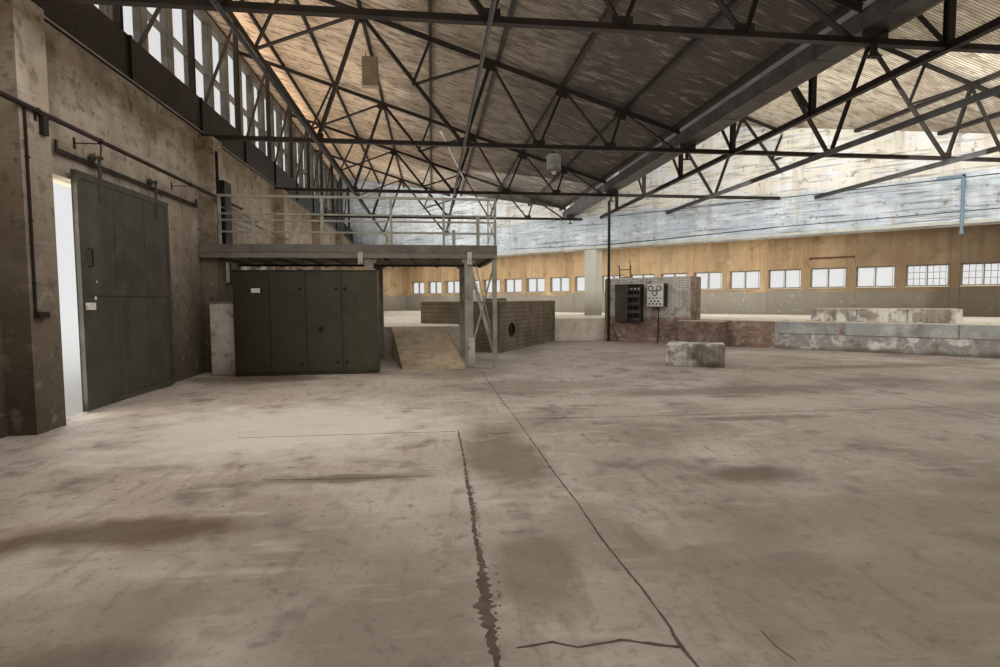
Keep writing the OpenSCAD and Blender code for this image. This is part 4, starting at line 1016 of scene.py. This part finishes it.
def meter_board():
    """Three dials over rows of switches and knobs on the front of the meter box."""
    u0, v0, z0 = BOX_U + 950 + 290, BLOCK_V - 400, 1250
    dials = ((130, 590), (400, 590), (265, 440))
    out = UV(0, -1, 0) - UV(0, 0, 0)
    s = Shape()
    for z in (z0 + 8, z0 + 722):
        s.uv_box(u0 + 8, v0 - 6, z, 524, 6, 10, 2)
    for u in (8, 522):
        s.uv_box(u0 + u, v0 - 6, z0 + 18, 10, 6, 704, 2)
    s.uv_box(u0 + 18, v0 - 4, z0 + 330, 504, 4, 8, 1)
    for u, z in dials:
        s.lathe(UV(u0 + u, v0 - 12, z0 + z), out, [(0, 0.064), (0.002, 0.064)], 28)
    s.make("meter_faces", WHITE)
    for u, z in dials:
        s.lathe(UV(u0 + u, v0, z0 + z), out, [(0, 0.092), (0.012, 0.092), (0.020, 0.082), (0.020, 0.068),
                                              (0.012, 0.066)], 28)
        s.uv_box(u0 + u - 3, v0 - 17, z0 + z - 14, 6, 3, 62, 1)
        for k in range(7):
            a = math.radians(150 - 20 * k)
            s.uv_box(u0 + u + 50 * math.cos(a) - 2, v0 - 15.5, z0 + z + 50 * math.sin(a) - 5, 4, 2, 10, 0.5)
    for row, z in enumerate((250, 150, 60)):
        for k in range(4 - row % 2):
            u = 90 + 120 * k + 60 * (row % 2)
            if row == 0:
                s.uv_box(u0 + u - 26, v0 - 14, z0 + z, 52, 14, 40, 4)
                s.uv_box(u0 + u - 8, v0 - 34, z0 + z + 14, 16, 22, 12, 3)
            else:
                s.lathe(UV(u0 + u, v0, z0 + z + 20), out, [(0, 0.030), (0.010, 0.030), (0.026, 0.019),
                                                           (0.034, 0.017)], 16)
    s.make("meter_fittings", BLACK)
    for u in (-12, 540):
        s.uv_box(u0 + u, v0 + 60, z0 - 12, 12, 330, 764, 3)
    s.tube([UV(u0 + 270, v0 + 330, z0), UV(u0 + 270, v0 + 340, z0 - 300), UV(u0 + 240, v0 + 370, 500),
            UV(u0 + 240, v0 + 370, 20)], 0.016, 8)
    s.make("meter_frame", STEEL)


meter_board()


def low_walls():
    """Facing of the dwarf wall: brick near the switch block, then whitewashed concrete under a ledge. The ladder,
    a panel and conduits at the block."""
    face = -3182
    foot_z, foot_v, lean, rise = 802, -2110, 300, 1930      # of the ladder
    s = Shape()
    s.uv_box(21530, -3700, 0, 1410, 516, 780, 10)
    s.make("brick_pier", OLD_BRICK)
    s.uv_box(21522, -3708, 780, 1426, 526, 22, 6)
    s.make("pier_cap", SAND)
    for a, b in ((24281, 25940), (26060, 28500), (28520, 31500), (31520, 34900), (34920, 37000)):
        s.uv_box(a, face - 34, 450, b - a, 36, 350, 8)
    s.make("wall_ledge", LEDGE)
    for a, b in ((24281, 27500), (27500, 31000), (31000, 34500), (34500, 37000)):
        s.uv_box(a, face - 10, 4, b - a, 14, 440, 5)
    s.make("wall_whitewash", PATCHY)
    s.uv_box(22960, face - 14, 795, 14000, 244, 18, 6)
    s.make("wall_coping", SAND)
    for k in range(14):
        u = 24300 + k * 680 + rng.uniform(-80, 80)
        s.uv_box(u, face + 632 + rng.uniform(0, 500), 800, rng.uniform(90, 240), rng.uniform(60, 130),
                 rng.uniform(14, 36), 6)
    s.uv_box(25200, -2380, 1178, 3300, 740, 8, 3)
    s.make("kerb_debris", SAND)
    for u in (18800, 19240):
        s.block(lambda i, j, k, u=u: UV(u + i, foot_v - lean * (k / rise) + j, foot_z + k), (45, 28, rise), 4)
    for k in range(7):
        z = 930 + 270 * k
        s.uv_box(18845, foot_v - lean * ((z - foot_z) / rise) + 6, z, 395, 18, 34, 3)
    s.make("ladder", WOOD)
    s.uv_box(18796, BLOCK_V - 7, 640, 110, 8, 1540, 3)
    s.make("block_panel", OLIVE)
    s.tube([UV(18985, BLOCK_V - 20, 20), UV(18985, BLOCK_V - 20, 4880)], 0.014, 8)
    for z in (600, 1500, 2100):
        s.uv_box(18900, BLOCK_V - 12, z, 130, 12, 30, 3)
    s.tube([UV(19120, BLOCK_V - 15, 720), UV(19120, BLOCK_V - 18, 500), UV(19350, BLOCK_V - 30, 60),
            UV(19600, BLOCK_V - 90, 30)], 0.012, 8)
    s.make("block_conduits", STEEL)


low_walls()


def far_wall():
    """Conduits and the blue pipe on the end wall, strips, bar, sills and window bars of the annex."""
    pipe_u, pipe_v = 28560, -100.3
    back = 4255                                             # of the annex, just before its wall
    windows = [1100 + 1570 * i for i in range(21)]
    s = Shape()
    for a, b, r in (((17242, 3780), (23714, 3965), 0.014), ((12000, 3905), (17200, 3790), 0.010),
                    ((23714, 3965), (33000, 4060), 0.010), ((17600, 4930), (33000, 5010), 0.012)):
        n = 14
        pts = [UV(a[0] + (b[0] - a[0]) * k / n, -16, a[1] + (b[1] - a[1]) * k / n - 12 * math.sin(math.pi * k / n))
               for k in range(n + 1)]
        s.tube(pts, r, 6)
    for k in range(10):
        u = 12300 + 2100 * k
        s.uv_box(u, -14, 3760 + 0.028 * (u - 17242), 26, 14, 46, 2)
    s.make("wall_conduits", STEEL)
    s.tube([UV(pipe_u - u, pipe_v, z) for u, z in ((0, 3392), (0, 4930), (12, 4985), (60, 5005), (620, 5010))],
           0.043, 14)
    s.lathe(UV(pipe_u, pipe_v, 3400), (0, 0, -1), [(0, 0.043), (0.0, 0.056), (0.05, 0.056), (0.06, 0.045)], 20)
    for z in (3700, 4300, 4850):
        s.uv_box(28500, -100, z, 120, 98, 26, 3)
    s.make("drop_pipe", BLUE)
    for k in range(10):
        s.uv_box(3455 + 3140 * k - 130, 4300 - 22, 810, 260, 22, 3280, 5)
    s.make("annex_strips", ANNEX)
    s.uv_box(23960, 4262, 3060, 1580, 20, 60, 4)
    for u in (24000, 24700, 25500):
        s.uv_box(u, 4264, 3000, 20, 34, 130, 3)
    s.make("annex_bar", RUST)
    for u in windows:
        s.uv_box(u - 640, back, 1868, 1280, 46, 32, 5)
    s.make("annex_sills", SAND)
    for i, u in enumerate(windows):
        for side in (0, 1):
            left = u - 625 + 45 + side * 580
            bars = 2 if i in (3, 9, 17, 18) else 0
            for k in range(bars):
                s.uv_box(left + 535 * (k + 1) / (bars + 1) - 8, 4434, 1945, 16, 20, 700, 3)
                s.uv_box(left, 4434, 1945 + 700 * (k + 1) / (bars + 1) - 8, 535, 20, 16, 3)
            for stile in (0, 523):
                s.uv_box(left + stile, 4438, 1945, 12, 28, 700, 3)
    s.make("annex_window_bars", GREY_STEEL)


far_wall()


# ---------------------------------------------------------------- tank and bases
TANK_AT, TANK_TURN = (6630, 16240), math.radians(58.4)


def tank_point(a, b, z):
    """A point given in the tank's own frame, from its near corner."""
    c, d = math.cos(TANK_TURN), math.sin(TANK_TURN)
    return P(TANK_AT[0] + a * c - b * d, TANK_AT[1] + a * d + b * c, z)


def tank_details():
    """Board marks, the ring of the pipe stub and the slabs on the cover."""
    out = (tank_point(0, -1, 0) - tank_point(0, 0, 0)).normalized()
    s = Shape()
    for k in range(11):
        s.box_in(tank_point, 4, -5, 120 + k * 125, 4762, 6, 7, 1.5)
        s.box_in(tank_point, -5, 4, 120 + k * 125, 6, 2592, 7, 1.5)
    for a in (1180, 2370, 3560):
        s.box_in(tank_point, a, -6, 4, 8, 7, 1340, 1.5)
    s.make("tank_board_marks", BOARDED)
    s.lathe(tank_point(820, 0, 620), out, [(-0.10, 0.148), (0.03, 0.148), (0.045, 0.168), (0.045, 0.196),
                                           (0.0, 0.200)], 28)
    s.make("tank_pipe_ring", BLACK)
    for i in range(3):
        s.box_in(tank_point, 30 + i * 1580, 60, 1450, 1500, 200, 12, 4)
    s.lathe(tank_point(1700, 900, 1540), (0, 0, 1), [(0, 0.30), (0.012, 0.30), (0.016, 0.27), (0.03, 0.10)], 28)
    s.make("tank_top_slabs", SAND)


tank_details()


def broken_base():
    """The low base gets a worn, whitewashed skin with rounded corners."""
    x0, y0, turn = 9902, 12602, math.radians(-28)
    edge = 60                                               # radius of its corners
    c, d = math.cos(turn), math.sin(turn)
    nx, ny, nz = 26, 16, 10
    long, deep, high = 1240, 730, 505
    verts, index, faces = [], {}, []

    def vert(i, j, k):
        if (i, j, k) not in index:
            x, y, z = long * i / nx, deep * j / ny, high * k / nz
            cx, cy = min(max(x, 70), long - 70), min(max(y, 70), deep - 70)
            cz = min(z, high - edge)
            off = Vector((x - cx, y - cy, z - cz))
            r = edge + 14 * math.sin(x * 0.013 + z * 0.02) * math.cos(y * 0.02)
            if off.length > r:
                off *= r / off.length
            px, py, pz = cx + off.x, cy + off.y, cz + off.z
            index[i, j, k] = len(verts)
            verts.append(P(x0 + px * c - py * d, y0 + px * d + py * c, pz + 1))
        return index[i, j, k]
    for i, j in product(range(nx), range(ny)):
        faces.append((vert(i, j, nz), vert(i + 1, j, nz), vert(i + 1, j + 1, nz), vert(i, j + 1, nz)))
        faces.append((vert(i, j + 1, 0), vert(i + 1, j + 1, 0), vert(i + 1, j, 0), vert(i, j, 0)))
    for k in range(nz):
        for i in range(nx):
            faces.append((vert(i, 0, k), vert(i + 1, 0, k), vert(i + 1, 0, k + 1), vert(i, 0, k + 1)))
            faces.append((vert(i + 1, ny, k), vert(i, ny, k), vert(i, ny, k + 1), vert(i + 1, ny, k + 1)))
        for j in range(ny):
            faces.append((vert(0, j + 1, k), vert(0, j, k), vert(0, j, k + 1), vert(0, j + 1, k + 1)))
            faces.append((vert(nx, j, k), vert(nx, j + 1, k), vert(nx, j + 1, k + 1), vert(nx, j, k + 1)))
    s = Shape()
    s.add(verts, faces)
    s.uv_box(25100, -2400, 800, 3500, 800, 380, 16)
    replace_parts(s.make("concrete_blocks", BASE_SKIN), "concrete_bases")
    for u in (26240, 27420):
        s.uv_box(u, -2404, 802, 14, 6, 372, 1)
    s.make("kerb_joints", JOINT)


broken_base()


# ---------------------------------------------------------------- roof structure
def rivets():
    """Rivets on the trusses' gussets and on the dark band of the left girder."""
    s = Shape()
    for y in TRUSS_Y:
        for g in GIRDERS:
            spots = [(d, CHORD_Z, 0) for d in (2490, 5650, 7350, 9010)]
            spots += [(d, RIDGE - SLOPE * d - 70, SLOPE) for d in (3450, 6260, 7910, 9280)]
            for d, z, fall in spots:
                if g + d + y > LEFT_LEN - 200:
                    continue
                for i in (-80, -28, 28, 80):
                    for side in (-1, 1):
                        s.lathe(P(g + d + i, y + side * 10, z - fall * i + 26 * (abs(i) < 50)), (0, side, 0),
                                [(0, 0.015), (0.006, 0.013), (0.010, 0.006)], 6)
    s.make("gusset_rivets", STEEL)
    y = TRUSS_Y[0]
    while y < LEFT_LEN - 300:
        for z in (5060, 5200, 5400, 5600, 5710):
            for off in (-18, 18):
                s.lathe(P(0, y + off, z), (1, 0, 0), [(0, 0.012), (0.004, 0.011), (0.008, 0.005)], 6)
        y += POST_GAP / 2
    s.make("band_rivets", BAND)


rivets()


def gutter_seams():
    """Seams, edge and brackets of the valley gutter."""
    gutter_x, seam_gap = 10550, POST_GAP / 2
    s = Shape()
    y = 600
    while y < LEFT_LEN - gutter_x - 400:
        s.box(gutter_x - 6, y, 5102, 8, 34, 256, 2)
        s.box(gutter_x, y, 5094, 380, 34, 7, 2)
        y += seam_gap
    s.box(gutter_x - 14, 20, 5340, 16, LEFT_LEN - gutter_x - 120, 22, 4)
    s.make("gutter_seams", GALV)
    for y in TRUSS_Y:
        if y + 10800 < LEFT_LEN - 300:
            for top, foot in ((10560, 10760), (10920, 10740)):
                s.tube([P(top, y - 14, 5096), P(foot, y - 14, CHORD_Z + 5)], 0.016, 6)
            s.box(10700, y - 70, 4760, 26, 120, 150, 3)
            s.box(10620, y - 60, 4740, 190, 100, 22, 3)
    s.make("gutter_brackets", STEEL)


gutter_seams()


def lights_and_tubes():
    """The box and the tube under the left roof, and the hanging lamp's shade, rings and bulb."""
    s = Shape()
    s.box(3090, 15330, 6880, 390, 200, 700, 12)
    s.box(3075, 15320, 6862, 420, 220, 24, 6)
    s.make("roof_light_box", TAN_BOX)
    for x in (3180, 3390):
        s.tube([P(x, 15430, 7570), P(x, 15430, RIDGE - SLOPE * (x - GIRDERS[0]))], 0.012, 6)
    s.make("roof_light_hangers", STEEL)
    a, b = P(5140, 18828, 6774), P(5826, 18828, 5345)
    s.tube([a, a.lerp(b, 0.5) + Vector((0, 0, -0.02)), b], 0.024, 10)
    d = (a - b).normalized()
    s.lathe(a, d, [(-0.02, 0.03), (0.0, 0.05), (0.05, 0.058), (0.09, 0.04), (0.10, 0.01)], 16)
    s.make("slanted_tube", WHITE)
    base = P(7540, 13400, LAMP_Z)
    s.lathe(base, (0, 0, 1), [(0.006, 0.150), (0.0, 0.162), (0.31, 0.162), (0.345, 0.146), (0.372, 0.092),
                              (0.39, 0.045), (0.40, 0.015), (0.478, 0.015)], 40)
    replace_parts(s.make("lamp_shade", ENAMEL), "hanging_lamp")
    for h, r in ((0.01, 0.162), (0.16, 0.162), (0.30, 0.162)):
        s.lathe(base + Vector((0, 0, h - 0.006)), (0, 0, 1), [(0, r), (0.004, r + 0.006), (0.008, r)], 40)
    s.lathe(base + Vector((0, 0, 0.385)), (0, 0, 1), [(0, 0.05), (0.02, 0.05), (0.03, 0.035), (0.05, 0.02)], 24)
    s.make("lamp_rings", GALV)
    s.lathe(base + Vector((0, 0, 0.02)), (0, 0, -1), [(-0.06, 0.03), (0.0, 0.05), (0.05, 0.056), (0.09, 0.04),
                                                       (0.11, 0.01)], 20)
    s.make("lamp_bulb", WHITE)


lights_and_tubes()


# ---------------------------------------------------------------- outside
def outside():
    """Ridge flashings, window sills, a plinth line and downpipes."""
    s = Shape()
    for g in GIRDERS:
        top = SHEET_Z + SLOPE * 1050 + 37
        end = LEFT_LEN - g + 1050 + VERGE * ROOT2 - 40
        verts, faces = [], []
        for y in (-VERGE + 6, end):
            for x, z in ((g - 1048, top - 44), (g - 1048, top + 4), (g - 880, top + 4 - SLOPE * 168),
                         (g - 880, top + 1 - SLOPE * 168), (g - 1044, top), (g - 1044, top - 44)):
                verts.append(P(x, y - (x - g + 1050 if y > 0 else 0), z))
        faces = [tuple(range(6))[::-1], tuple(range(6, 12))]
        faces += [(k, (k + 1) % 6, 6 + (k + 1) % 6, 6 + k) for k in range(6)]
        s.add(verts, faces)
    s.make("ridge_flashing", GALV)
    for x in range(3000, 21001, 3000):
        s.box(x - 690, -350 - 40, 1860, 1380, 60, 40, 6)
        s.box(x - 690, -350 - 14, 2690, 1380, 18, 120, 4)
    for y in (2600, 5800, 9000):
        s.box(24330, y - 690, 1860, 60, 1380, 40, 6)
        s.box(24346, y - 690, 2690, 18, 1380, 120, 4)
    s.make("outer_sills", SAND)
    s.box(-330, -372, -250, 24650, 24, 560, 8)
    s.box(24348, -300, -250, 24, 11600, 560, 8)
    for y, length in ((-300, 8840), (10910, 24400)):
        s.box(-372, y, -250, 24, length, 560, 8)
    s.make("outer_plinth", CONCRETE)
    for y in (8450, 10900):
        s.box(-366, y, -4, 18, 100, 3250, 5)
    s.box(-366, 8450, 3134, 18, 2550, 110, 5)
    s.make("doorway_frame", STEEL)
    for x, y in ((24420, 400), (24420, 6300), (24420, 10800)):
        s.tube([P(x, y, 5080), P(x, y, -120), P(x + 110, y, -185)], 0.05, 14)
        for z in (700, 2300, 3900):
            s.box(x - 72, y - 60, z, 70, 120, 36, 4)
        s.box(x - 74, y - 90, 5060, 150, 180, 190, 14)
    s.make("downpipes", GALV)
    for y in range(3, 35):
        s.box(-1076 + 6, y * 1000 - 8, 4996, 700, 16, 6, 2)
    s.make("eaves_joints", SAND)


outside()

# ---------------------------------------------------------------- lamps, world and stage
def lamp(name, at, size, aim, level, colour=(1, 1, 1)):
    """A soft area lamp that is not seen itself. aim is in degrees, and level is its radiance."""
    data = bpy.data.lights.new(name, "AREA")
    data.shape = "RECTANGLE"
    data.size, data.size_y = size
    data.energy = math.pi * size[0] * size[1] * level
    data.color = colour
    obj = new_object(name, data)
    obj.location = at
    obj.rotation_euler = [math.radians(a) for a in aim]
    obj.visible_camera = False
    obj.visible_glossy = False
    obj.visible_transmission = False


DOWN, UP = (0, 0, 0), (180, 0, 0)
WARM = (1.0, 0.98, 0.95)
for row in (
    ("left_bay_down", P(5800, 11500, 4780), (9.5, 20), DOWN, 0.92),
    ("left_near_down", P(3000, 7500, 4700), (4.5, 6), DOWN, 0.9),
    ("left_bay_up", P(5500, 12500, 4700), (9.5, 22), UP, 0.72, WARM),
    ("left_rear_down", P(3600, 25500, 4780), (5, 7), DOWN, 1.1),
    ("left_rear_up", P(3000, 27500, 4700), (5, 6), UP, 0.9, (1.0, 0.97, 0.92)),
    ("right_bay_down", P(17500, 7500, 4780), (9.5, 12), DOWN, 1.0),
    ("right_bay_up", P(17000, 8500, 4700), (9.5, 13), UP, 0.85, WARM),
    ("annex_down", UV(17000, 2200, 3950), (32, 3), (0, 0, -45), 1.7, WARM),
    ("annex_wall", UV(17000, 900, 2600), (32, 2.5), (90, 0, -45), 0.6, WARM),
    ("far_wall_left", UV(9500, -3600, 5300), (17, 2.2), (100, 0, -45), 2.9, (0.95, 0.98, 1.0)),
    ("far_wall_right", UV(25500, -4200, 5600), (13, 2.6), (98, 0, -45), 3.3, (0.97, 0.99, 1.0)),
    ("low_wall", UV(26500, -6500, 2600), (9, 2.5), (80, 0, -45), 1.2),
    ("doorway", P(-700, 9700, 1800), (3.0, 2.4), (0, -90, 0), 5.0, WARM),
    ("door_glow", P(70, 8720, 1600), (2.9, 0.3), (0, -90, 0), 6.0, (1.0, 0.97, 0.92)),
    ("clerestory", P(-700, 15000, 8600), (26, 1.0), (-60, 0, 90), 3.0, (1.0, 0.86, 0.7)),
    ("near_roof", P(1700, 11000, 5900), (3.6, 18), UP, 0.95, (1.0, 0.92, 0.82))):
    lamp(*row)


def world():
    """Pale where it is seen, mirrored or looked at through glass, and a soft sky for all other light."""
    t = Tree(bpy.data.worlds.new("sky"))
    bpy.context.scene.world = t.owner
    path = t.node("ShaderNodeLightPath").outputs
    seen = t.math("MAXIMUM", path["Is Camera Ray"], path["Is Glossy Ray"])
    soft, pale = (t.node("ShaderNodeBackground") for _ in range(2))
    soft.inputs["Color"].default_value = (0.96, 0.98, 1.0, 1)
    soft.inputs["Strength"].default_value = 0.75
    pale.inputs["Strength"].default_value = 1.0
    mix = t.node("ShaderNodeMixShader")
    for i, output in enumerate((t.math("MAXIMUM", seen, path["Is Transmission Ray"]), soft.outputs[0],
                                pale.outputs[0])):
        t.link(output, mix.inputs[i])
    t.link(mix.outputs[0], t.node("ShaderNodeOutputWorld").inputs["Surface"])


world()

sun = bpy.data.lights.new("sun", "SUN")
sun.energy = 1.2
sun.angle = math.radians(20)
new_object("sun", sun).rotation_euler = (math.radians(40), math.radians(15), 0)


def stage_floor():
    """The plain pale ground around the building."""
    size = 150.0
    mesh = bpy.data.meshes.new("stage_floor")
    mesh.from_pydata([(-size, -size, 0), (size, -size, 0), (size, size, 0), (-size, size, 0)], [], [(0, 1, 2, 3)])
    mesh.materials.append(surface("stage_pale", "e8e7e4", rough=0.9, bump_m=0.0005))
    obj = new_object("stage_floor", mesh)
    obj.location.z = -0.003


stage_floor()
